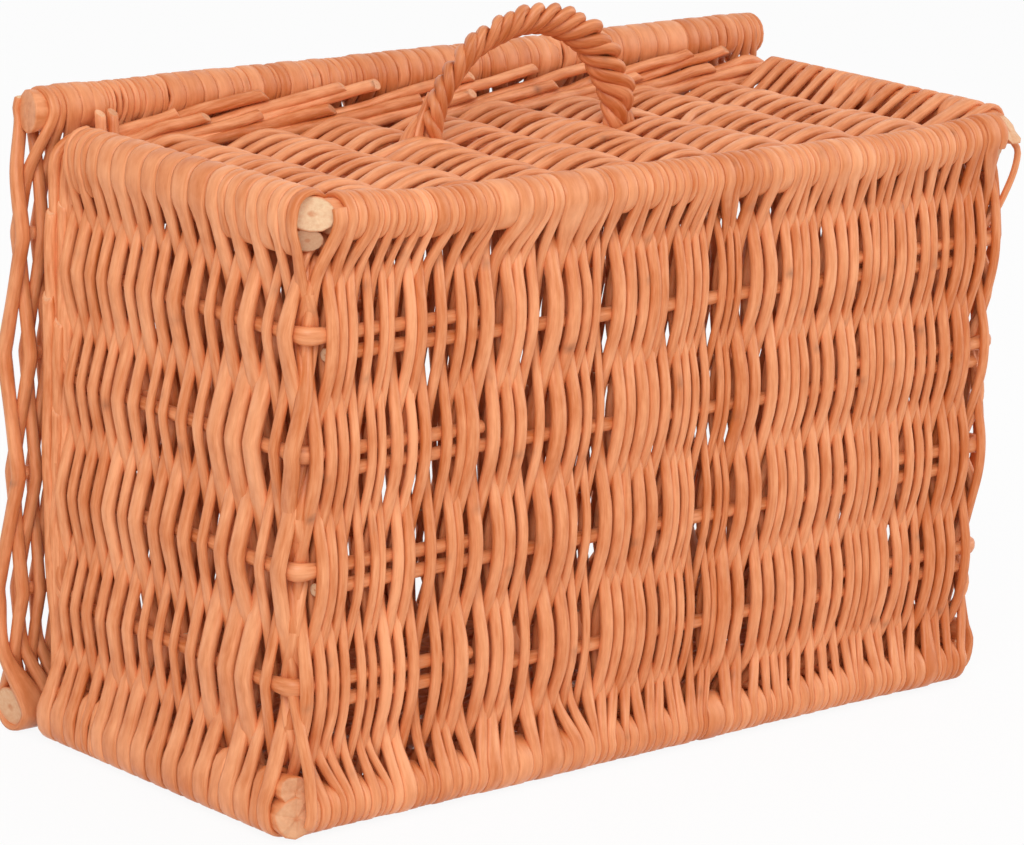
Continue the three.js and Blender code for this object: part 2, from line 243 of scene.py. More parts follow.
def travelled(line):
    """Length of a line up to each of its points."""
    return np.concatenate([[0], np.cumsum(np.linalg.norm(np.diff(line, axis=0), axis=1))])


def with_ends(values, share=1.0):
    """Some values with a share of the first and the last added at the ends."""
    return np.concatenate([values[:1] * share, values, values[-1:] * share])


def smooth_line(points, step):
    """Close samples of a smooth curve through points. Columns after the third ride along."""
    p = np.asarray(points, float)
    chord = np.maximum(np.linalg.norm(np.diff(p[:, :3], axis=0), axis=1), SHORTEST_CHORD)
    gap = np.sqrt(chord)[:, None]
    slope = np.diff(p, axis=0) / gap
    tangent = np.empty_like(p)
    tangent[0] = slope[0]
    tangent[-1] = slope[-1]
    both = gap[1:] + gap[:-1]
    tangent[1:-1] = (slope[:-1] * gap[1:] + slope[1:] * gap[:-1]) / both
    count = np.maximum(np.ceil(chord / step).astype(int), 1)
    piece = np.repeat(np.arange(len(chord)), count)
    first = np.repeat(np.cumsum(count) - count, count)
    t = ((np.arange(len(piece)) - first) / count[piece])[:, None]
    a, b = p[piece], p[piece + 1]
    ma, mb = tangent[piece] * gap[piece], tangent[piece + 1] * gap[piece]
    t2, t3 = t * t, t * t * t
    line = (2 * t3 - 3 * t2 + 1) * a + (t3 - 2 * t2 + t) * ma + (3 * t2 - 2 * t3) * b + (t3 - t2) * mb
    return np.vstack([line, p[-1]])


class Rod:
    """A rod: the line that it follows, the way that its width lies, its width and thickness."""

    def __init__(self, line, across, width, thickness, tone, slant=None):
        self.line = np.asarray(line, float)
        n = len(self.line)
        self.across = np.broadcast_to(np.asarray(across, float), (n, 3))
        self.width = np.broadcast_to(np.asarray(width, float), (n,))
        self.thickness = np.broadcast_to(np.asarray(thickness, float), (n,))
        self.tone = tone
        self.slant = slant


CHAMFER = 0.35
CHAMFER_SHARE = 0.84
SCAR_SPACING = 85.0
SCAR_START = 5.0
SCAR_SCATTER = 0.25
SCAR_LENGTH = 1.9
SCAR_SWELL = 0.07
FAINTEST_SCAR = 0.25
SCARLESS_FLATNESS = 2.2
BOXY_FROM = 1.35
BOXY_RATE = 0.35
BOXIEST = 0.5
GRAIN_SHIFT = 900


class Bundle:
    """Collects swept rods and makes one mesh of them."""

    def __init__(self, name, sides, rng, pale=1.0):
        self.name, self.sides, self.rng, self.pale = name, sides, rng, pale
        self.points, self.tone, self.grain, self.scar = [], [], [], []
        self.quads, self.tris = [], []
        self.count = 0

    def scars_on(self, travel, angle):
        """Strength of the bud scars at each place along and round a rod."""
        scar = np.zeros((len(travel), len(angle)))
        places = np.arange(self.rng.uniform(SCAR_START, SCAR_SPACING), travel[-1], SCAR_SPACING)
        for at in places + self.rng.normal(0, SCAR_SPACING * SCAR_SCATTER, len(places)):
            near = np.exp(-(((travel - at) / SCAR_LENGTH) ** 2))
            facing = np.clip(np.cos(angle - self.rng.uniform(0, 2 * np.pi)), 0, 1) ** 2
            scar += near[:, None] * facing[None, :] * self.rng.uniform(FAINTEST_SCAR, 1.0)
        return scar

    def add(self, rod):
        m = self.sides
        along = unit(np.gradient(rod.line, axis=0))
        first = rod.line[0] - along[0] * CHAMFER
        final = rod.line[-1] + along[-1] * CHAMFER
        line = np.vstack([first, rod.line, final])
        along, across = with_ends(along), with_ends(rod.across)
        width, thick = with_ends(rod.width, CHAMFER_SHARE), with_ends(rod.thickness, CHAMFER_SHARE)
        side = unit(across - (across * along).sum(1, keepdims=True) * along)
        face = np.cross(along, side)
        travel = travelled(line)
        angle = 2 * np.pi * (np.arange(m) + 0.5) / m
        scar = self.scars_on(travel, angle) * np.clip(SCARLESS_FLATNESS - width / thick, 0, 1)[:, None]
        swell = 0.5 * (1 + SCAR_SWELL * scar)
        fullness = np.clip(BOXY_FROM - BOXY_RATE * width / thick, BOXIEST, 1)[:, None]
        wide = rounded(np.cos(angle), fullness) * width[:, None] * swell
        deep = rounded(np.sin(angle), fullness) * thick[:, None] * swell
        ring = line[:, None, :] + wide[:, :, None] * side[:, None, :] + deep[:, :, None] * face[:, None, :]
        if rod.slant is not None:
            lean = ((ring[-2:] - line[-2:, None, :]) @ rod.slant)[:, :, None]
            ring[-2:] -= lean * along[-2:, None, :]
        n = len(line)
        base = self.count
        ids = base + np.arange(n * m).reshape(n, m)
        nxt = np.roll(ids, -1, axis=1)
        self.quads.append(np.stack([ids[:-1], nxt[:-1], nxt[1:], ids[1:]], axis=-1).reshape(-1, 4))
        start, end = base + n * m, base + n * m + 1
        self.tris.append(np.stack([np.full(m, start), nxt[0], ids[0]], axis=-1))
        self.tris.append(np.stack([np.full(m, end), ids[-1], nxt[-1]], axis=-1))
        self.points += [ring.reshape(-1, 3), ring[0].mean(0)[None], ring[-1].mean(0)[None]]
        shift = self.rng.uniform(0, GRAIN_SHIFT)
        turn = np.broadcast_to(angle, (n, m))
        place = np.broadcast_to((travel + shift)[:, None], (n, m))
        grain = np.stack([np.cos(turn), np.sin(turn), place], axis=-1)
        ends = np.array([[0, 0, shift], [0, 0, shift + travel[-1]]])
        self.grain += [grain.reshape(-1, 3), ends]
        self.scar += [np.clip(scar, 0, 1).ravel(), np.zeros(2)]
        self.tone.append(np.full(n * m + 2, rod.tone))
        self.count += n * m + 2

    def mesh(self):
        quads, tris = np.vstack(self.quads), np.vstack(self.tris)
        mesh = bpy.data.meshes.new(self.name)
        mesh.vertices.add(self.count)
        mesh.vertices.foreach_set("co", (np.vstack(self.points) * MM).astype(np.float32).ravel())
        corners = np.concatenate([quads.ravel(), tris.ravel()]).astype(np.int32)
        mesh.loops.add(len(corners))
        mesh.loops.foreach_set("vertex_index", corners)
        starts = np.concatenate([np.arange(len(quads)) * 4, len(quads) * 4 + np.arange(len(tris)) * 3])
        mesh.polygons.add(len(starts))
        mesh.polygons.foreach_set("loop_start", starts.astype(np.int32))
        smooth = np.concatenate([np.ones(len(quads), bool), np.zeros(len(tris), bool)])
        mesh.polygons.foreach_set("use_smooth", smooth)
        cut = ~smooth * self.pale
        finish_marks(mesh, np.concatenate(self.tone), np.vstack(self.grain), np.concatenate(self.scar), cut)
        mesh.update(calc_edges=True)
        if mesh.validate():
            raise RuntimeError(f"{self.name} has faulty faces")
        return mesh


def finish_marks(mesh, tone, grain, scar, cut):
    """Stores on a mesh what the willow finish reads: rod tone, place along the rod, bud scars, cut ends."""
    mesh.attributes.new("tone", "FLOAT", "POINT").data.foreach_set("value", np.asarray(tone, np.float32))
    marks = mesh.attributes.new("grain", "FLOAT_VECTOR", "POINT")
    marks.data.foreach_set("vector", np.asarray(grain, np.float32).ravel())
    mesh.attributes.new("scar", "FLOAT", "POINT").data.foreach_set("value", np.asarray(scar, np.float32))
    mesh.attributes.new("cut", "FLOAT", "FACE").data.foreach_set("value", np.asarray(cut, np.float32))


def settle(obj, body, nodes, material):
    """Gives a finished piece its material and its body, and hides the nodes that it stands for."""
    obj.data.materials.clear()
    obj.data.materials.append(material)
    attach(obj, body)
    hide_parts(*nodes)
    return obj


def add_bundle(bundle, body, nodes, material):
    obj = bpy.data.objects.new(bundle.name, bundle.mesh())
    bpy.context.scene.collection.objects.link(obj)
    return settle(obj, body, nodes, material)


# Straight sticks, shaped from cylinders

STICK_SIDES = 14
STICK_RING_STEP = 12.0
STICK_RIM = 0.7
FLARE_LENGTH = 7.0
CUT_FACING = 0.75
LENGTHWISE = 0.9
OBLIQUE = (0.3, 0.5, 0.81)
BOW = 0.35
BOW_RUN = 47
SWAY_RUN = 61
LUMPS = 0.03
LUMP_RUN = 23
OVAL = 0.025
RAGGED_LOBES = (3, 5)
STICK_TONES = 0.5
SQUARE_CUTS = ((0, 0, 0), (0, 0, 0))


def ringed_cylinder(name, start, end, radius):
    """A cylinder between two points with rings along it and rounded rims, and the way that it points."""
    way = end - start
    bpy.ops.object.select_all(action="DESELECT")
    bpy.ops.mesh.primitive_cylinder_add(
        vertices=STICK_SIDES,
        radius=radius * MM,
        depth=way.length,
        end_fill_type="TRIFAN",
        location=(start + end) / 2,
        rotation=way.to_track_quat("Z", "Y").to_euler(),
    )
    obj = bpy.context.object
    obj.name = obj.data.name = name
    bpy.ops.object.transform_apply(location=True, rotation=True, scale=True)
    heading = way.normalized()
    bpy.ops.object.mode_set(mode="EDIT")
    shape = bmesh.from_edit_mesh(obj.data)
    bpy.ops.mesh.select_all(action="DESELECT")
    bpy.context.tool_settings.mesh_select_mode = (False, True, False)
    for edge in shape.edges:
        run = (edge.verts[1].co - edge.verts[0].co).normalized()
        edge.select_set(abs(run.dot(heading)) > LENGTHWISE)
    bpy.ops.mesh.subdivide(number_cuts=max(2, int(way.length / MM / STICK_RING_STEP)))
    shape = bmesh.from_edit_mesh(obj.data)
    bpy.ops.mesh.select_all(action="DESELECT")
    for edge in shape.edges:
        flat = [abs(face.normal.dot(heading)) > LENGTHWISE for face in edge.link_faces]
        edge.select_set(sum(flat) == 1)
    bpy.ops.mesh.bevel(offset=STICK_RIM * MM, segments=2, affect="EDGES")
    bpy.ops.object.mode_set(mode="OBJECT")
    return obj, np.array(heading)


def straight_stick(
    name, start, end, radius, rng, bend=None, slants=SQUARE_CUTS, flare=0, pale=1, tone=None, rough=0
):
    """A peeled stick between two points: slightly bent and uneven, with slanted or rough cuts at its ends."""
    start, end = Vector(start) * MM, Vector(end) * MM
    obj, axis = ringed_cylinder(name, start, end, radius)
    mesh = obj.data
    normal = np.empty(len(mesh.polygons) * 3, np.float32)
    mesh.polygons.foreach_get("normal", normal)
    cut = np.abs(normal.reshape(-1, 3) @ axis) > CUT_FACING
    co = np.empty(len(mesh.vertices) * 3, np.float32)
    mesh.vertices.foreach_get("co", co)
    co = co.reshape(-1, 3).astype(float) / MM
    side = unit(np.cross(axis, OBLIQUE))
    other = np.cross(axis, side)
    origin = np.array(start) / MM
    length = (end - start).length / MM
    travel = (co - origin) @ axis
    out = co - origin - travel[:, None] * axis
    reach = np.linalg.norm(out, axis=1)
    angle = np.arctan2(out @ other, out @ side)
    phase = rng.uniform(0, 2 * np.pi, 4)
    fade = np.sin(np.pi * np.clip(travel / length, 0, 1))
    bow = BOW * fade * np.sin(travel / BOW_RUN + phase[0])
    sway = BOW * fade * np.sin(travel / SWAY_RUN + phase[1])
    girth = 1 + LUMPS * np.sin(travel / LUMP_RUN + phase[2]) + OVAL * np.sin(2 * angle + phase[3])
    girth += flare * np.exp(-((np.minimum(travel, length - travel) / FLARE_LENGTH) ** 2))
    ragged = rough * reach * sum(np.sin(lobes * angle + at) for lobes, at in zip(RAGGED_LOBES, phase))
    ends = (travel < STICK_RIM * 2, travel > length - STICK_RIM * 2)
    for slant, near in zip(slants, ends):
        travel = travel - near * (out @ np.array(slant) + ragged)
    co = origin + travel[:, None] * axis + out * girth[:, None]
    co += bow[:, None] * side + sway[:, None] * other
    if bend:
        co[:, 2] += bend(co[:, 0])
    mesh.vertices.foreach_set("co", (co * MM).astype(np.float32).ravel())
    mesh.polygons.foreach_set("use_smooth", ~cut)
    share = np.clip(reach / radius, 0, 1)
    shift = rng.uniform(0, GRAIN_SHIFT)
    grain = np.stack([share * np.cos(angle), share * np.sin(angle), travel + shift], axis=-1)
    tone = rng.normal(0, STICK_TONES) if tone is None else tone
    finish_marks(mesh, np.full(len(co), tone), grain, np.zeros(len(co)), cut * pale)
    mesh.update()
    return obj


def joined(objects):
    """One object made of several."""
    bpy.ops.object.select_all(action="DESELECT")
    for obj in objects:
        obj.select_set(True)
    bpy.context.view_layer.objects.active = objects[0]
    bpy.ops.object.join()
    return objects[0]


EDGE_RISE = 4.0
EDGE_RISE_FROM = 130.0
EDGE_RISE_TO = 205.0
LID_RISE = 4.0
POST_BAND = 2.7
POST_PRESS = 1.5
GROUND_GAP = 0.5


def edge_rise(x):
    """How far the base's upper edge bends up towards the corners."""
    return EDGE_RISE * ramp((np.abs(x) - EDGE_RISE_FROM) / (EDGE_RISE_TO - EDGE_RISE_FROM))


def lid_rise(x):
    """How far the lid's front edge bends up towards its right end."""
    left, right = low_corner("lid_front_stick")[0], high_corner("lid_front_stick")[0]
    return LID_RISE * np.clip((x - left) / (right - left), 0, 1) ** 2


def post_pair(node):
    """Height and radius of the two sticks of a corner post, the lower one first. The heavier lies outside."""
    heavy, light = in_mm(settings().sticks.post_radius, settings().sticks.second_radius)
    z = middle(node)[2]
    apart = heavy + light - POST_PRESS
    if "upper" in node:
        return [(z - apart / 2, light), (z + apart / 2, heavy)]
    low = GROUND_GAP + POST_BAND + heavy
    return [(low, heavy), (low + apart, light)]


# Weaving in a flat panel of sticks

WEAVER_SIDES = 8
ROW_STEP = 3.6
SHORTEST_ROD = 3
GIRTH_LIMITS = (0.64, 1.5)
ROD_TAPER = (1.1, 0.9)
ROW_ROOM = 0.2
GAP_CHANCE = 0.28
GAP_ROOM = 1.35
LOOSE_ROWS = 2.5
CROSSING_SQUEEZE = 0.92
CREST_RUN = 5.0
CREST_FALL = 0.82

# Turns round the edge sticks, in degrees from the panel's front
TURNS_TOGETHER = 4
TURN_WIDTHS = (0.6, 1.45)
FULL_BAND = 7.5
THIN_SINK = 0.9
BAND_LAP = 1.06
WRAP_STEP = 30
WRAP_FROM, WRAP_TO = 180, -30
FIRST_FROM = 30
AGAIN_FROM, AGAIN_TO = 120, -60
CROSSOVER = ((-95, 0.4), (-130, 0.8), (-165, 1), (-210, 1))

# How far the ends of a rod are tucked inward and aside
BUTT_TUCK = ((3.0, 2.2), (1.5, 2.0))
TIP_TUCK = ((2.5, -2.2), (1.0, -1.8))


def rod_runs(rng, rows, per_rod):
    """Row at which each rod of a weave starts."""
    starts = [0]
    while starts[-1] < rows:
        starts.append(starts[-1] + max(SHORTEST_ROD, int(round(rng.normal(per_rod, 1.0)))))
    starts[-1] = rows
    if len(starts) > 2 and starts[-1] - starts[-2] < SHORTEST_ROD:
        del starts[-2]
    return starts


def rod_girths(rng, starts, unevenness):
    """Thickness of each row, as a share of the middling rod: each rod tapers from butt to tip."""
    girth = np.empty(starts[-1])
    for a, b in zip(starts, starts[1:]):
        middling = np.clip(rng.normal(1, unevenness), *GIRTH_LIMITS)
        girth[a:b] = middling * np.linspace(*ROD_TAPER, b - a)
    return girth


def spread(girths, low, high):
    """Middles of things of these widths, laid side by side from low to high."""
    edges = np.concatenate([[0], np.cumsum(girths)])
    return low + (high - low) * (edges[1:] + edges[:-1]) / 2 / edges[-1]


def panel_weave(bundle, rng, pitch, row_span, band_span, crossings, seat, band, loose, rewraps):
    """Weaves rods up and down between two edge sticks. Crossings run from the top edge to the bottom:
    height, stick radius, half the run over the stick. seat gives the place of (along, height, out),
    band the thickness of a rod on an edge stick, loose the room between the rows at the panel's ends,
    rewraps how often a rod goes round an edge stick more than once, and how many times then."""
    sizes = settings().weavers
    width, thick, wander = in_mm(sizes.width, sizes.thickness, sizes.wander)
    low, high = row_span
    rows = 2 * round((high - low) / pitch / 2)
    starts = rod_runs(rng, rows, sizes.rows_per_rod)
    girth = rod_girths(rng, starts, sizes.unevenness)
    count = np.arange(rows)
    room = girth + ROW_ROOM + GAP_ROOM * (rng.random(rows) < GAP_CHANCE)
    room += loose * np.exp(-np.minimum(count, count[::-1]) / LOOSE_ROWS)
    row_at = spread(room, low, high)
    last = len(crossings) - 1
    stray = rng.normal(0, wander, (rows, last + 1))

    def side_of(row, j):
        return 1 if (row + j) % 2 == 0 else -1

    turns = {}
    for edge in (0, last):
        here = [r for r in range(-1, rows) if side_of(r + 1, edge) == 1]
        natural = [(row_at[max(r, 0)] + row_at[min(r + 1, rows - 1)]) / 2 for r in here]
        natural = np.interp(natural, row_span, band_span)
        for k in range(0, len(here), TURNS_TOGETHER):
            group = here[k:k + TURNS_TOGETHER]
            after = k + len(group)
            a = (natural[k - 1] + natural[k]) / 2 if k else band_span[0]
            b = (natural[after - 1] + natural[after]) / 2 if after < len(here) else band_span[1]
            share = []
            for r in group:
                times = rewraps[1] if rng.random() < rewraps[0] else 1
                turns[r, edge] = list(range(len(share), len(share) + times))
                share += list(girth[min(max(r, 0), rows - 1)] * rng.uniform(*TURN_WIDTHS, times))
            share = np.array(share)
            at, wide = spread(share, a, b), (b - a) * share / share.sum()
            for r in group:
                turns[r, edge] = [(at[i], wide[i]) for i in turns[r, edge]]
    points, marks = [], []

    def put(u, v, w, wide, deep, tag=None):
        points.append((*seat(u, v, w), wide, deep))
        marks.append(tag)

    def wrap(row, edge):
        height, radius, _ = crossings[edge]
        up = 1 if edge == 0 else -1
        around = turns[row, edge]
        for i, (at, wide) in enumerate(around):
            reach = radius + band / 2 - THIN_SINK * max(1 - wide / FULL_BAND, 0)
            final = i == len(around) - 1
            begin = AGAIN_FROM if i else FIRST_FROM if row < 0 else WRAP_FROM
            finish = WRAP_TO if final else AGAIN_TO
            path = [(degrees, at) for degrees in range(begin, finish - 1, -WRAP_STEP)]
            if not final:
                step = around[i + 1][0] - at
                path += [(degrees, at + share * step) for degrees, share in CROSSOVER]
            for degrees, u in path:
                turn = math.radians(degrees)
                v = height + up * reach * math.sin(turn)
                put(u, v, reach * math.cos(turn), wide * BAND_LAP, band)

    def walk(row):
        downward = side_of(row, 0) == 1
        order = range(1, last) if downward else range(last - 1, 0, -1)
        wide, deep = width * girth[row], thick * girth[row]
        previous = 0 if downward else last
        for j in order:
            height, radius, run = crossings[j]
            back, _, run_back = crossings[previous]
            step = 1 if height < back else -1
            out = side_of(row, j) * (radius + deep / 2)
            u = row_at[row] + stray[row, j]
            between = row_at[row] + 0.5 * (stray[row, j] + stray[row, previous])
            put(between, (height + back) / 2 + step * (run - run_back) / 2, 0, wide * CROSSING_SQUEEZE, deep)
            for share in (-1, 0, 1):
                v = height - step * share * (run + CREST_RUN)
                put(u, v, out * (CREST_FALL if share else 1.0), wide, deep, None if share else (row, j))
            previous = j
        end = crossings[last if downward else 0][0]
        put(row_at[row], (crossings[previous][0] + end) / 2, 0, wide * CROSSING_SQUEEZE, deep)

    wrap(-1, 0)
    for row in range(rows):
        walk(row)
        wrap(row, last if side_of(row, 0) == 1 else 0)
    control = np.array(points)
    cuts = [0]
    for row in starts[1:-1]:
        hidden = [j for j in range(2, last) if side_of(row, j) == -1]
        cuts.append(marks.index((row, int(rng.choice(hidden)))))
    cuts.append(len(control) - 1)
    across = np.array(seat(1, 0, 0)) - np.array(seat(0, 0, 0))
    inward = np.array(seat(0, 0, -1)) - np.array(seat(0, 0, 0))
    for i, (a, b) in enumerate(zip(cuts, cuts[1:])):
        some = control[max(a - 1, 0):min(b + 2, len(control))].copy()
        tucks = []
        if i:
            tucks += zip((0, 1), BUTT_TUCK)
        if b < len(control) - 1:
            tucks += zip((-1, -2), TIP_TUCK)
        for point, (deep, aside) in tucks:
            some[point, :3] += inward * deep + across * aside
        line = smooth_line(some, ROW_STEP)
        bundle.add(Rod(line[:, :3], across, line[:, 3], line[:, 4], rng.normal(0, 1)))


# Finish. A noise has a scale, a stretch and a detail; a range goes from two values to two others.

NOISE_ROUGHNESS = 0.6
STREAK_NOISE = (2.2, (1.0, 1.0, 0.035), 4.0)
MOTTLE_NOISE = (1.0, (0.35, 0.35, 0.045), 3.0)
FIBRE_NOISE = (5.0, (1.0, 1.0, 0.09), 5.0)
TONE_RANGE = (-2.2, 2.2, -0.34, 0.34)
MOTTLE_RANGE = (0.3, 0.7, -0.30, 0.30)
STREAK_RANGE = (0.3, 0.7, -0.5, 0.5)
FULL_RANGE = (0.0, 1.0, 0.0, 1.0)
CORE_RANGE = (0.10, 0.22, 0.45, 0.0)
BARK_RANGE = (0.86, 0.97, 0.0, 0.55)
FIBRE_RANGE = (0.35, 0.65, 0.0, 0.25)
WEATHERED_RANGE = (0.0, 2.0, 0.0, 0.55)
ROUGHNESS_RANGE = (0.3, 0.7, 0.36, 0.52)
MIDDLING_DARKNESS = 0.46
SCAR_DARKNESS = 0.75
CUT_ROUGHNESS = 0.25
STREAK_RELIEF = 0.7
FIBRE_RELIEF = 0.3
DARKER_SHADE = 0.35
SHEEN = 0.45
BUMP_STRENGTH = 0.22
BUMP_DEPTH = 0.6


def grain_group():
    """The willow finish: colour from the rod's tone, streaks along the rod, bud scars and pale cut ends."""
    name = "Willow finish"
    if name in bpy.data.node_groups:
        return bpy.data.node_groups[name]
    group = bpy.data.node_groups.new(name, "ShaderNodeTree")
    for label, way, kind in (
        ("Light colour", "INPUT", "NodeSocketColor"),
        ("Dark colour", "INPUT", "NodeSocketColor"),
        ("Scar colour", "INPUT", "NodeSocketColor"),
        ("Cut colour", "INPUT", "NodeSocketColor"),
        ("Streaks", "INPUT", "NodeSocketFloat"),
        ("Colour", "OUTPUT", "NodeSocketColor"),
        ("Roughness", "OUTPUT", "NodeSocketFloat"),
        ("Height", "OUTPUT", "NodeSocketFloat"),
    ):
        group.interface.new_socket(label, in_out=way, socket_type=kind)
    nodes, links = group.nodes, group.links
    given = nodes.new("NodeGroupInput")
    result = nodes.new("NodeGroupOutput")

    def attribute(label):
        node = nodes.new("ShaderNodeAttribute")
        node.attribute_name = label
        return node

    def noise(scale, stretch, detail):
        shape = nodes.new("ShaderNodeMapping")
        shape.inputs["Scale"].default_value = stretch
        links.new(grain.outputs["Vector"], shape.inputs["Vector"])
        node = nodes.new("ShaderNodeTexNoise")
        node.inputs["Scale"].default_value = scale
        node.inputs["Detail"].default_value = detail
        node.inputs["Roughness"].default_value = NOISE_ROUGHNESS
        links.new(shape.outputs["Vector"], node.inputs["Vector"])
        return node.outputs["Fac"]

    def math_node(kind, a, b):
        node = nodes.new("ShaderNodeMath")
        node.operation = kind
        for socket, value in zip(node.inputs, (a, b)):
            if isinstance(value, float):
                socket.default_value = value
            else:
                links.new(value, socket)
        return node.outputs["Value"]

    def ranged(value, numbers):
        node = nodes.new("ShaderNodeMapRange")
        links.new(value, node.inputs["Value"])
        for label, number in zip(("From Min", "From Max", "To Min", "To Max"), numbers):
            node.inputs[label].default_value = number
        return node.outputs["Result"]

    def mixed(factor, a, b):
        node = nodes.new("ShaderNodeMix")
        node.data_type = "RGBA"
        sockets = [s for s in node.inputs if s.enabled]
        for socket, value in zip(sockets, (factor, a, b)):
            links.new(value, socket)
        return [s for s in node.outputs if s.enabled][0]

    grain = attribute("grain")
    tone = attribute("tone")
    scar = attribute("scar")
    cut = attribute("cut")
    streak = noise(*STREAK_NOISE)
    mottle = noise(*MOTTLE_NOISE)
    fibre = noise(*FIBRE_NOISE)
    rod_tone = ranged(tone.outputs["Fac"], TONE_RANGE)
    slow = ranged(mottle, MOTTLE_RANGE)
    lined = math_node("MULTIPLY", ranged(streak, STREAK_RANGE), given.outputs["Streaks"])
    toned = math_node("ADD", rod_tone, slow)
    darkness = math_node("ADD", toned, math_node("ADD", lined, MIDDLING_DARKNESS))
    factor = ranged(darkness, FULL_RANGE)
    colour = mixed(factor, given.outputs["Light colour"], given.outputs["Dark colour"])
    marked = math_node("MULTIPLY", scar.outputs["Fac"], SCAR_DARKNESS)
    scarred = mixed(marked, colour, given.outputs["Scar colour"])
    radius = nodes.new("ShaderNodeVectorMath")
    radius.operation = "LENGTH"
    flat = nodes.new("ShaderNodeVectorMath")
    flat.operation = "MULTIPLY"
    flat.inputs[1].default_value = (1, 1, 0)
    links.new(grain.outputs["Vector"], flat.inputs[0])
    links.new(flat.outputs["Vector"], radius.inputs[0])
    core = ranged(radius.outputs["Value"], CORE_RANGE)
    bark = ranged(radius.outputs["Value"], BARK_RANGE)
    fibres = ranged(fibre, FIBRE_RANGE)
    worn = math_node("ADD", math_node("ADD", core, bark), fibres)
    fresh = mixed(worn, given.outputs["Cut colour"], given.outputs["Dark colour"])
    end = mixed(ranged(tone.outputs["Fac"], WEATHERED_RANGE), fresh, given.outputs["Scar colour"])
    final = mixed(cut.outputs["Fac"], scarred, end)
    links.new(final, result.inputs["Colour"])
    peeled = ranged(fibre, ROUGHNESS_RANGE)
    rough = math_node("ADD", peeled, math_node("MULTIPLY", cut.outputs["Fac"], CUT_ROUGHNESS))
    links.new(rough, result.inputs["Roughness"])
    lines = math_node("MULTIPLY", streak, STREAK_RELIEF)
    height = math_node("ADD", lines, math_node("MULTIPLY", fibre, FIBRE_RELIEF))
    links.new(height, result.inputs["Height"])
    return group


def willow(name, darker=0.0, streaks=0.6):
    """A willow material. darker moves the light colour towards the dark one."""
    if name in bpy.data.materials:
        return bpy.data.materials[name]
    colours = settings().colours
    material = bpy.data.materials.new(name)
    material.use_nodes = True
    nodes, links = material.node_tree.nodes, material.node_tree.links
    shader = nodes["Principled BSDF"]
    finish = nodes.new("ShaderNodeGroup")
    finish.node_tree = grain_group()
    light = [a + (b - a) * darker for a, b in zip(colours.buff, colours.russet)]
    dark = [c * (1 - DARKER_SHADE * darker) for c in colours.russet]
    finish.inputs["Light colour"].default_value = (*light, 1)
    finish.inputs["Dark colour"].default_value = (*dark, 1)
    finish.inputs["Scar colour"].default_value = (*colours.scar, 1)
    finish.inputs["Cut colour"].default_value = (*colours.pith, 1)
    finish.inputs["Streaks"].default_value = streaks
    links.new(finish.outputs["Colour"], shader.inputs["Base Color"])
    links.new(finish.outputs["Roughness"], shader.inputs["Roughness"])
    shader.inputs["Specular IOR Level"].default_value = SHEEN
    bump = nodes.new("ShaderNodeBump")
    bump.inputs["Strength"].default_value = BUMP_STRENGTH
    bump.inputs["Distance"].default_value = BUMP_DEPTH * MM
    links.new(finish.outputs["Height"], bump.inputs["Height"])
    links.new(bump.outputs["Normal"], shader.inputs["Normal"])
    return material


# Pieces. Each kind of rod has its own finish: name, how much darker, strength of the streaks.

STICK_FINISH = ("Willow stick", 0.15, 0.8)
WEAVER_FINISH = ("Willow weaver",)
LID_WEAVER_FINISH = ("Willow lid weaver", 0.15)
BORDER_FINISH = ("Willow border rod", 0.05, 0.8)
HANDLE_FINISH = ("Willow handle", 0.25, 0.9)
LOOP_FINISH = ("Willow loop", 0.2, 0.8)

STICK_SEED, STAKE_SEED = 11, 12
BASE_SEED, LID_SEED, WALL_SEED, BORDER_SEED, HANDLE_SEED, LOOP_SEED = range(21, 27)

BASE_STICK_SHORT = 10.0
LID_STICK_SHORT = 8.0
LID_EDGE_SHORT = 5.0
LID_EDGE_FLARE = 0.22
STICK_SLANT = 0.16
POST_SLANT = 0.3
StickJob = namedtuple("StickJob", "node radius body short bend flare pale", defaults=(0, None, 0, 1))
PostEnd = namedtuple("PostEnd", "near pale tone flare slant rough")
POST_ENDS = {
    "upper_left": (PostEnd(-84.5, 0.85, 1.6, 0, 0.9, 0), PostEnd(-86.5, 1.0, -1.0, 0, 0.9, 0.05)),
    "upper_right": (PostEnd(-82.0, 0.8, 0.5, 0, 0.2, 0), PostEnd(-88.0, 0.7, 0.2, -0.22, 0.1, 0.12)),
    "lower_left": (PostEnd(-93.0, 0.5, 0.2, 0.22, 0.35, 0.1), PostEnd(-92.0, 0.4, 0.5, 0.3, 0.5, 0.12)),
    "lower_right": (PostEnd(-83.0, 0.8, 0.5, 0, 0.7, 0), PostEnd(-84.0, 0.8, 0.5, 0, 0.7, 0)),
}


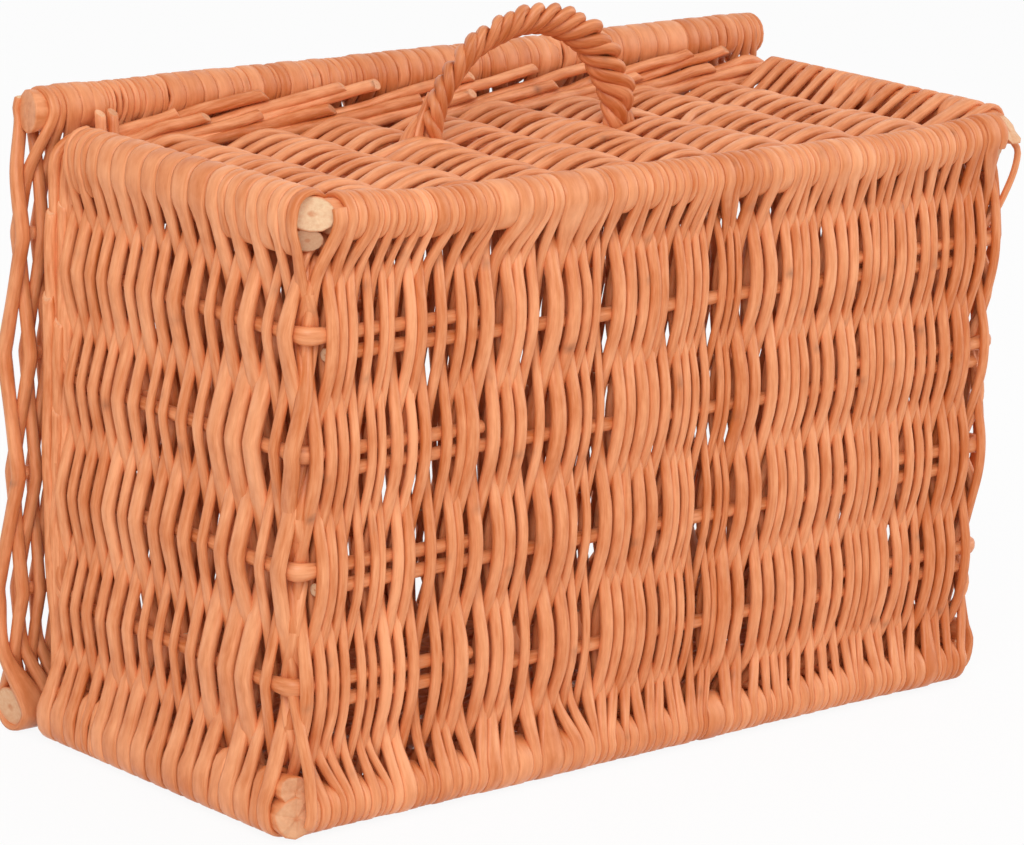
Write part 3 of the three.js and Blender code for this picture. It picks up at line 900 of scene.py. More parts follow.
class HAMPER_OT_sticks(bpy.types.Operator):
    """Shape the sticks of base and lid, the corner posts and the stakes of the long walls"""

    bl_idname = "hamper.sticks"
    bl_label = "Sticks and Posts"

    def execute(self, context):
        sizes = settings().sticks
        edge, lid_edge, inner = in_mm(sizes.edge_radius, sizes.lid_edge_radius, sizes.stick_radius)
        rng = np.random.default_rng(STICK_SEED)
        material = willow(*STICK_FINISH)
        jobs = [
            StickJob("base_edge_stick_upper", edge, "basket", bend=edge_rise, pale=0.4),
            StickJob("base_edge_stick_lower", edge, "basket", pale=0.6),
            *(StickJob(node, inner, "basket", BASE_STICK_SHORT) for node in BASE_STICKS),
            StickJob("lid_hinge_stick", lid_edge, "lid", LID_EDGE_SHORT, flare=LID_EDGE_FLARE, pale=0.7),
            StickJob("lid_front_stick", lid_edge, "lid", LID_EDGE_SHORT, lid_rise, LID_EDGE_FLARE, pale=0.1),
            *(StickJob(node, inner, "lid", LID_STICK_SHORT, pale=0.1) for node in LID_STICKS),
            *(StickJob(node, inner, "basket") for node in HANDLE_STAKES + HINGE_STAKES),
        ]
        for job in jobs:
            low, high, mid = low_corner(job.node), high_corner(job.node), middle(job.node)
            axis = int(np.argmax(high - low))
            start, end = mid.copy(), mid.copy()
            start[axis], end[axis] = low[axis] + job.short, high[axis] - job.short
            look = (job.bend, rng.normal(0, STICK_SLANT, (2, 3)), job.flare, job.pale)
            stick = straight_stick(f"willow_{job.node}", start, end, job.radius, rng, *look)
            settle(stick, job.body, [job.node], material)
        for node in POSTS:
            x, far = middle(node)[0], high_corner(node)[1]
            ends = next(value for key, value in POST_ENDS.items() if key in node)
            pair = []
            for (z, radius), near in zip(post_pair(node), ends):
                slants = ((math.copysign(near.slant, -x), 0, rng.normal(0, POST_SLANT)), (0, 0, 0))
                start, end = (x, near.near, z), (x, far, z)
                look = (None, slants, near.flare, near.pale, near.tone, near.rough)
                pair.append(straight_stick(f"willow_{node}", start, end, radius, rng, *look))
            settle(joined(pair), "basket", [node], material)
        return {"FINISHED"}


ROD_SIDES = 12
KINK_SWELL = 0.35
KINK_RUN = 9.0
KINK_LEAD = 30.0
KINK_BEND = 5.0
KINK_CORNER = (1.25, 1.3)
KINK_TOP = 6.0
STAKE_MIDDLE = 60.0
STAKE_STRAY = 0.3
STAKE_SWAY = 0.4
STAKE_STEP = 3.0
STAKE_TONES = 0.6


class HAMPER_OT_end_stakes(bpy.types.Operator):
    """Bend the stakes of the end walls out of the base"""

    bl_idname = "hamper.end_stakes"
    bl_label = "End Stakes"

    def execute(self, context):
        radius = settings().sticks.stick_radius / MM
        rng = np.random.default_rng(STAKE_SEED)
        base_y = middle("base_edge_stick_upper")[1]
        for node in LEFT_STAKES + RIGHT_STAKES:
            low, high, z = low_corner(node), high_corner(node), middle(node)[2]
            left = "left" in node
            inner_x = high[0] if left else low[0]
            wall_x = middle(POSTS[0] if left else POSTS[1])[0]
            inward = 1 if left else -1
            stray_y, stray_z = rng.normal(0, STAKE_STRAY, 2)
            points = [
                (inner_x, base_y, z),
                (wall_x + inward * KINK_LEAD, base_y + stray_y, z + stray_z),
                (wall_x + inward * KINK_BEND, base_y, z),
                (wall_x + inward * KINK_CORNER[0], base_y + KINK_CORNER[1], z),
                (wall_x, base_y + KINK_TOP, z),
                (wall_x, base_y + STAKE_MIDDLE, z + rng.normal(0, STAKE_SWAY)),
                (wall_x, high[1], z),
            ]
            bundle = Bundle(f"willow_{node}", ROD_SIDES, rng)
            line = smooth_line(points, STAKE_STEP)
            bend_at = np.linalg.norm(line - np.array([wall_x, base_y, z]), axis=1)
            girth = 2 * radius * (1 + KINK_SWELL * np.exp(-((bend_at / KINK_RUN) ** 2)))
            bundle.add(Rod(line, (0, 0, 1), girth, 2 * radius, rng.normal(0, STAKE_TONES)))
            add_bundle(bundle, "basket", [node], willow(*STICK_FINISH))
        return {"FINISHED"}


BASE_BAND = 3.2
BASE_CREST = 0.7
BASE_ROW_MARGINS = (1.5, 3.5)
BASE_BAND_MARGINS = (4.7, 8.5)
BASE_WRAPS = 2
LID_BAND = 3.0
LID_REWRAPS = (0.16, 3)
LID_ROW_MARGINS = (-2.5, -2.5)
LID_BAND_MARGINS = (4.5, 4.5)
LID_LOOSE = 0.8
LOOP_ROOM = 5.0
LOOP_ROOM_RUN = 9.0


def span_within(reach, margins):
    """From one end to the other, less a margin at each."""
    return margins[0] - reach, reach - margins[1]


class HAMPER_OT_base_weave(bpy.types.Operator):
    """Weave the base panel"""

    bl_idname = "hamper.base_weave"
    bl_label = "Base Weave"

    def execute(self, context):
        edge, inner = in_mm(settings().sticks.edge_radius, settings().sticks.stick_radius)
        upper, lower = middle("base_edge_stick_upper"), middle("base_edge_stick_lower")
        crossings = [(upper[2], edge, 0)]
        for stick, stake in zip(reversed(BASE_STICKS), reversed(LEFT_STAKES)):
            a, b = middle(stick)[2], middle(stake)[2]
            crossings.append(((a + b) / 2, inner * BASE_CREST, abs(b - a) / 2))
        crossings.append((lower[2], edge, 0))
        plane, top, below = upper[1], upper[2], crossings[1][0]

        def seat(u, v, w):
            return (u, plane - w, v + edge_rise(u) * ramp((v - below) / (top - below)))

        rng = np.random.default_rng(BASE_SEED)
        bundle = Bundle("base_weave_rods", WEAVER_SIDES, rng)
        reach = middle(POSTS[1])[0]
        rows, bands = span_within(reach, BASE_ROW_MARGINS), span_within(reach, BASE_BAND_MARGINS)
        pitch = settings().weavers.panel_pitch / MM
        rewraps = (settings().weavers.second_wraps, BASE_WRAPS)
        panel_weave(bundle, rng, pitch, rows, bands, crossings, seat, BASE_BAND, 0, rewraps)
        add_bundle(bundle, "basket", ["base_weave"], willow(*WEAVER_FINISH))
        return {"FINISHED"}


class HAMPER_OT_lid_weave(bpy.types.Operator):
    """Weave the lid panel"""

    bl_idname = "hamper.lid_weave"
    bl_label = "Lid Weave"

    def execute(self, context):
        edge, inner = in_mm(settings().sticks.lid_edge_radius, settings().sticks.stick_radius)
        upper, lower = middle("lid_front_stick"), middle("lid_hinge_stick")
        crossings = [(upper[2], edge, 0)]
        crossings += [(middle(stick)[2], inner, 0) for stick in reversed(LID_STICKS)]
        crossings.append((lower[2], edge, 0))
        plane, top, below = upper[1], upper[2], crossings[1][0]
        loops = [middle("hinge_loop_left")[0], middle("hinge_loop_right")[0]]
        loop_top = crossings[-2][0]

        def seat(u, v, w):
            rise = lid_rise(u) * ramp((v - below) / (top - below))
            for at in loops:
                near = math.exp(-(((u - at) / LOOP_ROOM_RUN) ** 2)) * ramp((loop_top - v) / loop_top)
                u += math.copysign(LOOP_ROOM * near, u - at)
            return (u, plane + w, v + rise)

        rng = np.random.default_rng(LID_SEED)
        bundle = Bundle("lid_weave_rods", WEAVER_SIDES, rng)
        reach = high_corner("lid_front_stick")[0]
        rows, bands = span_within(reach, LID_ROW_MARGINS), span_within(reach, LID_BAND_MARGINS)
        pitch = settings().weavers.lid_pitch / MM
        panel_weave(bundle, rng, pitch, rows, bands, crossings, seat, LID_BAND, LID_LOOSE, LID_REWRAPS)
        add_bundle(bundle, "lid", ["lid_weave"], willow(*LID_WEAVER_FINISH))
        return {"FINISHED"}


# Walls. A size with four values has one for each wall, or for the post at which the wall starts.

CREST = (1.6, 0.3, 0.0, 0.3)
CREST_REACH = (10.0, 4.0, 10.0, 4.0)
CREST_DROOP = (0.74, 0.88, 0.74, 0.88)
WALL_GIRTH = (1.08, 1.3, 1.0, 1.3)
WALL_MIDDLING = 1.02
WALL_GIRTH_LIMITS = (0.78, 1.34)
WALL_TAPER = 0.9945
WALL_STRAY = 0.7
DEPTH_POWER = 0.7
WALL_STEP = 4.3
TOP_ROW_LIFT = 3.0
END_WALL_DROP = 8.5
END_WIDENING = 1.2
END_NARROWING = 0.35
BASE_BITE = 1.0
TIGHTENING = 0.065
FOOT_INSET = 6.0
FOOT_ROOM = 3.0
FOOT_RUN = 16.0
FOOT_DEPTH = 11.0
NEW_ROD_AFTER = 5
ROD_STAKES = (11, 17)
LAST_STAKES = 5
JOIN_LAP = 1.9

# Bands on the posts, with turns in degrees
WIDEST_BAND = (11.0, 7.0, 7.0, 9.5)
THIN_BAND = 3.4
NARROW_RUN = 15.0
BAND_SCATTER = 0.9
BAND_LAP_ON_POST = 1.04
BAND_EASE = 0.5
WRAP_CHANCE = 0.3
POST_WAIST = 0.05
POST_OUTSIDE = (-10, 0, 30, 60, 90, 100)
POST_INSIDE = (-20, 20)
POST_WHOLE = range(-20, 381, 30)
WHOLE_DRIFT = 1.6

# Single rods, as steps from the ground at the lower left post and from the end of the upper right post
PRESSED_ROD = (
    (2, 3, 66),
    (2, -1.5, 54),
    (2, -6, 42),
    (3, -9.5, 30),
    (3.5, -11, 20),
    (4, -11.5, 12),
    (4, -10, 7),
)
STRAY_ROD = (
    (0, 6, -6),
    (4.5, 2, -5),
    (7.5, -1, -9),
    (7.5, -1, -17),
    (4.5, 1, -29),
    (0, 4, -41),
    (-4, 8, -50),
)
PRESSED_TONE = 0.3
STRAY_TONE = 0.5
STRAY_WIDTH = 3.2

# Rods behind the bends of the end stakes
CORNER_INSET = 1.5
BEHIND_INSET = 6.0
CORNER_ROOM = 3.0
CORNER_SWAY = (2.0, 3.2)
CORNER_STRAY = 2.0
CORNER_GIRTH = 0.95

Upright = namedtuple("Upright", "post at first second wall")


def edges_between(places):
    """Edges halfway between neighbours, and as far outside the first and the last."""
    halfway = (places[1:] + places[:-1]) / 2
    return np.concatenate([[2 * places[0] - halfway[0]], halfway, [2 * places[-1] - halfway[-1]]])


class WallWeave:
    """Two rods that chase each other round the stakes and posts of the four walls. Of an upright, first
    and second are the outward ways of the walls before and after a post, or a stake's outward way and
    the way along its wall."""

    def __init__(self, rng):
        weavers = settings().weavers
        self.rng = rng
        self.unevenness = weavers.unevenness
        self.width, self.thick, self.wander = in_mm(weavers.width, weavers.thickness, weavers.wander)
        self.stick_r = settings().sticks.stick_radius / MM
        self.low = low_corner("handle_wall_weave")[1]
        self.high = high_corner("handle_wall_weave")[1] + TOP_ROW_LIFT
        self.rounds = round((self.high - self.low) / (weavers.wall_pitch / MM) / 2)
        self.pitch = (self.high - self.low) / (2 * self.rounds)
        self.end_low = low_corner("left_end_weave")[1] - END_WALL_DROP
        self.base_y = middle("base_edge_stick_upper")[1]
        self.handle_y = middle("handle")[1]
        self.feet = [low_corner("handle")[0] + FOOT_INSET, high_corner("handle")[0] - FOOT_INSET]
        self.pairs = [post_pair(post) for post in POSTS]
        self.uprights = []
        for wall, (post, stakes, heading) in enumerate(zip(POSTS, WALL_STAKES, WALL_HEADINGS)):
            corner, outward = middle(post)[[0, 2]], turned_left(heading)
            before = turned_left(WALL_HEADINGS[wall - 1])
            self.uprights.append(Upright(True, corner, before, outward, wall))
            for stake in stakes:
                at = stake_at(stake, corner[0])
                self.uprights.append(Upright(False, at, outward, np.array(heading), wall))
        self.per_round = len(self.uprights)
        self.steps = self.rounds * self.per_round
        self.lead = len(LEFT_STAKES) + 1
        self.begin = (2 - self.lead, -self.lead)
        self.bands = self.post_bands()

    def height(self, n, strand):
        """Level of a strand at the nth upright, with room for the handle's feet."""
        upright = self.uprights[n % self.per_round]
        risen = 2 * n / self.per_round * (self.rounds - 0.5) / self.rounds
        y = self.low + self.pitch * (strand + 0.5 + risen)
        if upright.post or upright.wall in END_WALLS:
            share = (y - self.low) / (self.high - self.low)
            share += TIGHTENING * math.sin(math.pi * share)
            return self.end_low + (self.high - self.end_low) * share
        if upright.wall == HANDLE_WALL:
            for foot in self.feet:
                aside, above = (upright.at[0] - foot) / FOOT_RUN, (y - self.handle_y) / FOOT_DEPTH
                near = math.exp(-(aside ** 2) - above ** 2)
                y += math.copysign(FOOT_ROOM * near, y - self.handle_y)
        return y

    def post_bands(self):
        """Middle and width of the band that a strand makes on a post, for each upright and strand."""
        bands = {}
        for i in range(-self.lead, self.per_round - self.lead):
            if not self.uprights[i].post:
                continue
            wall = self.uprights[i].wall
            passes = []
            for strand in (0, 1):
                for n in range(i, self.steps + 1, self.per_round):
                    y = self.height(n, strand) + self.rng.normal(0, BAND_SCATTER)
                    tight = wall == HANDLE_WALL and y < self.low + NARROW_RUN
                    outside = (i + strand) % 2 == 0 or self.rng.random() < (1 if tight else WRAP_CHANCE)
                    if outside and n >= self.begin[strand]:
                        passes.append((y, n, strand))
            passes.sort()
            edges = edges_between(np.array([y for y, _, _ in passes]))
            for k, (_, n, strand) in enumerate(passes):
                a, b = edges[k], edges[k + 1]
                wide = min((b - a) * BAND_LAP_ON_POST, WIDEST_BAND[wall])
                if wall == RIGHT_WALL and k == 0:
                    wide = THIN_BAND
                bands[n, strand] = ((a + b) / 2, wide)
        return bands

    def round_post(self, upright, degrees):
        """A place on a band: over the upper or the lower stick of a post, or across between the two."""
        turn = math.radians(degrees)
        (z, radius), (z_up, radius_up) = self.pairs[upright.wall]
        if math.sin(turn) > POST_WAIST:
            z, radius = z_up, radius_up
        elif math.sin(turn) > -POST_WAIST:
            z, radius = (z + z_up) / 2, max(radius, radius_up)
        reach = radius + POST_BAND / 2
        return upright.at[0] + reach * math.cos(turn), z + reach * math.sin(turn)

    def past_post(self, n, strand, outside, y, wide, deep):
        """Points of a rod that goes by a post outside or inside, or winds right round it."""
        upright = self.uprights[n % self.per_round]
        way = upright.first if outside else -(upright.first + upright.second)
        start = math.degrees(math.atan2(way[1], way[0]))
        y, band = self.bands.get((n, strand), (y, wide))
        if outside:
            turns = [(start - d, 0.0) for d in POST_OUTSIDE]
        elif (n, strand) in self.bands:
            turns = [(start + d, (d - 180) / 180 * WHOLE_DRIFT) for d in POST_WHOLE]
        else:
            turns = [(start + d, 0.0) for d in POST_INSIDE]
        points = []
        for k, (degrees, drift) in enumerate(turns):
            x, z = self.round_post(upright, degrees)
            loose = BAND_EASE if k in (0, len(turns) - 1) else 0
            flat = (band + (wide - band) * loose, POST_BAND + (deep - POST_BAND) * loose)
            points.append((x, y + drift, z, *flat))
        return points

    def past_stake(self, n, outside, y, wide, deep):
        """Points of a rod that goes by a stake, the second of them on the stake, and on to the next."""
        upright, following = (self.uprights[k % self.per_round] for k in (n, n + 1))
        out = (1 if outside else -1) * (self.stick_r + deep / 2 + CREST[upright.wall])
        places = []
        for share in (-1, 0, 1):
            droop = CREST_DROOP[upright.wall] if share else 1.0
            aside = upright.second * share * CREST_REACH[upright.wall]
            places.append(upright.at + upright.first * out * droop + aside)
        if not following.post:
            places.append((upright.at + following.at) / 2)
        return [(x, y, z, wide, deep) for x, z in places]

    def trace(self, strand):
        """Points of a strand with its width and depth there, and which of them a stake hides."""
        points, hidden = [], []
        girth = 1.0
        for n in range(self.begin[strand], self.steps + 1):
            i = n % self.per_round
            if n % (self.per_round + NEW_ROD_AFTER) == 0:
                girth = np.clip(self.rng.normal(WALL_MIDDLING, self.unevenness), *WALL_GIRTH_LIMITS)
            girth *= WALL_TAPER
            wall = self.uprights[i].wall
            outside = (i + strand) % 2 == 0
            y = self.height(n, strand) + self.rng.normal(0, self.wander * WALL_STRAY)
            wide, deep = self.width * girth * WALL_GIRTH[wall], self.thick * girth ** DEPTH_POWER
            if wall in END_WALLS:
                wide *= END_WIDENING - END_NARROWING * (y - self.end_low) / (self.high - self.end_low)
                if not outside:
                    y = max(y, self.base_y + self.stick_r + wide / 2 - BASE_BITE)
            if self.uprights[i].post:
                points += self.past_post(n, strand, outside, y, wide, deep)
                continue
            if not outside:
                hidden.append(len(points) + 1)
            points += self.past_stake(n, outside, y, wide, deep)
        return np.array(points), hidden

    def lay(self, bundle, strand):
        """Cuts a strand into rods, each joined to the next behind a stake."""
        control, hidden = self.trace(strand)
        cuts = [0]
        goal = 0
        while goal < len(hidden) - self.per_round // 2:
            goal += int(self.rng.integers(*ROD_STAKES))
            if goal < len(hidden) - LAST_STAKES:
                cuts.append(hidden[goal])
        cuts.append(len(control) - 1)
        for k, (a, b) in enumerate(zip(cuts, cuts[1:])):
            some = control[max(a - 1, 0):min(b + 2, len(control))].copy()
            if k:
                some[:2, 1] += JOIN_LAP
            if b < len(control) - 1:
                some[-2:, 1] -= JOIN_LAP
            line = smooth_line(some, WALL_STEP)
            bundle.add(Rod(line[:, :3], (0, 1, 0), line[:, 3], line[:, 4], self.rng.normal(0, 1)))

    def lay_single_rods(self, bundle):
        """A rod pressed over the ends of the lower left post and one that strays from the upper right."""
        foot = np.array([middle(POSTS[3])[0], self.base_y, 0])
        line = smooth_line([foot + step for step in PRESSED_ROD], ROW_STEP)
        bundle.add(Rod(line, (1, 0, 0), self.width, self.thick, PRESSED_TONE))
        top = np.array([middle(POSTS[1])[0], self.base_y, post_pair(POSTS[1])[1][0]])
        line = smooth_line([top + step for step in STRAY_ROD], ROW_STEP)
        bundle.add(Rod(line, (0, 1, 0), STRAY_WIDTH, STRAY_WIDTH, STRAY_TONE))

    def lay_corner_rods(self, bundle, side, stakes, top, bottom):
        """Two rods behind the bends of the end stakes, which cross between the stakes at the corner."""
        x = middle(top)[0]
        across = np.array([-side, -1, 0]) / math.sqrt(2)
        corner = np.array([x - side * CORNER_INSET, self.base_y + CORNER_INSET, 0])
        behind = np.array([x - side * BEHIND_INSET, self.base_y + BEHIND_INSET, 0])
        z_low, r_low = post_pair(bottom)[1]
        z_high, r_high = post_pair(top)[0]
        levels = [middle(stake)[2] for stake in stakes]
        heights = [z_low + r_low + CORNER_ROOM, *levels, z_high - r_high - CORNER_ROOM]
        for k in (0, 1):
            points = []
            for j, (z, z_next) in enumerate(zip(heights, heights[1:] + [None])):
                sway = (1 if (j + k) % 2 else -1) * self.rng.uniform(*CORNER_SWAY)
                points.append(behind + across * sway + [0, 0, z])
                if z_next is not None:
                    points.append(corner + [0, 0, (z + z_next) / 2 + self.rng.normal(0, CORNER_STRAY)])
            line = smooth_line(points, ROW_STEP)
            width, thick = self.width * CORNER_GIRTH, self.thick * CORNER_GIRTH
            bundle.add(Rod(line, across, width, thick, self.rng.normal(0, 1)))


class HAMPER_OT_wall_weave(bpy.types.Operator):
    """Weave the four walls, two rods chasing each other round stakes and posts"""

    bl_idname = "hamper.wall_weave"
    bl_label = "Wall Weave"

    def execute(self, context):
        rng = np.random.default_rng(WALL_SEED)
        bundle = Bundle("wall_weave_rods", WEAVER_SIDES, rng)
        weave = WallWeave(rng)
        for strand in (0, 1):
            weave.lay(bundle, strand)
        weave.lay_single_rods(bundle)
        weave.lay_corner_rods(bundle, -1, LEFT_STAKES, POSTS[0], POSTS[3])
        weave.lay_corner_rods(bundle, 1, RIGHT_STAKES, POSTS[1], POSTS[2])
        add_bundle(bundle, "basket", WALL_WEAVES, willow(*WEAVER_FINISH))
        return {"FINISHED"}


# The rim border. Lower rods lie under the upper ones and are shorter. A root's places and a stub's are
# given along the rim, out of the wall and towards the lid, or the last two of these.

OTHER_LIFTS = (10.0, 5.0, 6.5)
PAST_CORNER = (12, 3, 4, 126)
CORNER_RUN = 14.0
CORNER_LIFT = 0.65
LOWER_REACH = 0.7
LOWER_LIFT = 0.58
LOWER_SHIFT = 4
LEFT_REACH = 1.25
REACH_SCATTER = 6.0
POST_ROD = 9
TIP_BELOW_LID = 0.3
LOWER_BELOW_LID = 4.6
BORDER_ROOT = ((0, 0, -9), (0.5, 0, -3), (5, 0.6, 1))
BORDER_FROM = 16
BORDER_EVERY = 14
BORDER_LAST = 8
BORDER_SEAT = 1.5
BORDER_CLIMB = 1.7
CLIMB_STRAY = 0.3
LIFT_POWER = 1.1
LIFT_STRAY = 0.35
BORDER_STEP = 4.0
BORDER_TAPER = (1.08, 0.92)
BORDER_GIRTHS = (0.9, 1.1)
BORDER_SLANTS = (0.6, 1.1)
SLANT_STRAY = 0.25
BORDER_PALE = 0.4

# Short cut stubs by the upper left corner
STUBS = (15.0, 21.5)
STUB_LEAN = 1.0
STUB_FOOT = (3.0, 3.0)
STUB_TIP = (17.5, 6.0)
STUB_WIDTH = 4.8
STUB_SLANT = (0, -0.8, 0.3)


class HAMPER_OT_rim_border(bpy.types.Operator):
    """Lay the stake tops down along the rim and trim their tips"""

    bl_idname = "hamper.rim_border"
    bl_label = "Rim Border"

    def execute(self, context):
        sizes = settings().border
        radius, reach, lift = in_mm(sizes.radius, sizes.reach, sizes.lift)
        rng = np.random.default_rng(BORDER_SEED)
        centre = [middle(post)[[0, 2]] for post in POSTS]
        lifts = (lift, *OTHER_LIFTS)
        rim = low_corner(BORDERS[0])[1]
        lid_side = high_corner(BORDERS[0])[1] - radius
        sides = []
        for a, b in zip(centre, centre[1:] + centre[:1]):
            length = np.linalg.norm(b - a)
            heading = (b - a) / length
            sides.append((a, heading, turned_left(heading), length))

        def place(side, along, out, y):
            a, heading, outward, length = sides[side]
            following = (side + 1) % len(sides)
            if along > length + CORNER_RUN:
                return place(following, along - length - CORNER_RUN, out, y)
            if along <= length:
                p = a + heading * along + outward * out
                return (p[0], y, p[1])
            turn = (along - length) / CORNER_RUN * math.pi / 2
            corner, _, ahead, _ = sides[following]
            p = corner + unit(outward * math.cos(turn) + ahead * math.sin(turn)) * out
            return (p[0], y, p[1])

        def lay(bundle, side, start, upper):
            full = reach * (1 if upper else LOWER_REACH) * (LEFT_REACH if side == LEFT_WALL else 1)
            full += rng.normal(0, REACH_SCATTER)
            length = sides[side][3]
            run = min(full, length + PAST_CORNER[side] - start)
            top = lifts[side] * (1 if upper else LOWER_LIFT)
            seat = rim + BORDER_SEAT
            end_y = lid_side - (TIP_BELOW_LID if upper else LOWER_BELOW_LID)
            points = [place(side, start + s, out, rim + y) for s, out, y in BORDER_ROOT]
            for s in [*np.arange(BORDER_FROM, run - BORDER_LAST, BORDER_EVERY), run]:
                share = s / full
                out = top * share ** LIFT_POWER + rng.normal(0, LIFT_STRAY)
                if side == LEFT_WALL:
                    out += CORNER_LIFT * lift * ramp((start + s - length) / PAST_CORNER[side])
                y = seat + (end_y - seat) * ramp(share * BORDER_CLIMB) + rng.normal(0, CLIMB_STRAY)
                points.append(place(side, start + s, out, y))
            line = smooth_line(points, BORDER_STEP)
            girth = 2 * radius * np.linspace(*BORDER_TAPER, len(line)) * rng.uniform(*BORDER_GIRTHS)
            round_corner = start + run > length + CORNER_RUN
            facing = sides[(side + 1) % len(sides) if round_corner else side][2]
            slant = np.array([facing[0], -1, facing[1]]) * rng.uniform(*BORDER_SLANTS)
            slant += rng.normal(0, SLANT_STRAY, 3)
            bundle.add(Rod(line, (0, 1, 0), girth, girth, rng.normal(0, 1), slant))

        bundles = [Bundle(f"{node}_rods", ROD_SIDES, rng, BORDER_PALE) for node in BORDERS]
        for side, stakes in enumerate(WALL_STAKES):
            a, heading, _, _ = sides[side]
            starts = [float((stake_at(stake, a[0]) - a) @ heading) for stake in stakes]
            for start in (POST_ROD, *starts):
                lay(bundles[side], side, start, True)
                lay(bundles[side], side, start + LOWER_SHIFT, False)
        for along in STUBS:
            foot = place(HANDLE_WALL, along, STUB_FOOT[0], rim + STUB_FOOT[1])
            tip = place(HANDLE_WALL, along + STUB_LEAN, STUB_TIP[0], rim + STUB_TIP[1])
            line = smooth_line([foot, tip], BORDER_STEP)
            stub = Rod(line, (0, 1, 0), STUB_WIDTH, STUB_WIDTH, rng.normal(0, 1), np.array(STUB_SLANT))
            bundles[HANDLE_WALL].add(stub)
        for bundle, node in zip(bundles, BORDERS):
            add_bundle(bundle, "basket", [node], willow(*BORDER_FINISH))
        return {"FINISHED"}


# The handle. Leans, shoulders and the spread of the tails are given for the left leg and the right.

STRANDS = 3
ARCH_POINTS = 400
FOOT_SINK = 3.0
CROWN_RISE = 4.9
CROWN_SHIFT = 2.0
LEG_LEANS = (0.0, 5.0)
SHOULDERS = (0.8, 1.1)
GATHER_RUN = 20.0
GATHERED = 0.4
PLAIT_TILT = 38.0
PLAIT_SEAM = 0.12
PLAIT_FRONT = (0.8, 0.4, 0.78)
PLAIT_FRONT_AT = (0, 0.45, 1)
PLAIT_DRIFT = 0.05
PLAIT_DRIFT_RUN = 23
PLAIT_UNEVEN = 0.09
PLAIT_UNEVEN_RUN = 11
PLAIT_UNEVEN_STEP = 4
STRAND_LUMPS = 0.09
STRAND_LUMP_RUN = 9
STRAND_LUMP_STEP = 2
STRAND_SHAPE = (1.12, 0.82)
HANDLE_TONE = (0.6, 0.5)

# Tails: how far out and up each starts, and how far out it ends
TAILS = ((-3, 29, 5), (1, 28, 13), (4, 21, 21))
TAIL_SPREAD = (1.0, 0.45)
TAIL_FORWARD = (1, -2, -3)
TAIL_SINK = 1
TAIL_STEP = 2.5
TAIL_TAPER = (0.3, 1.2)
TAIL_FULLNESS = 0.6
TAIL_WIDTH = 1.1
KNEE_OUT = 0.7
KNEE_UP = 0.5


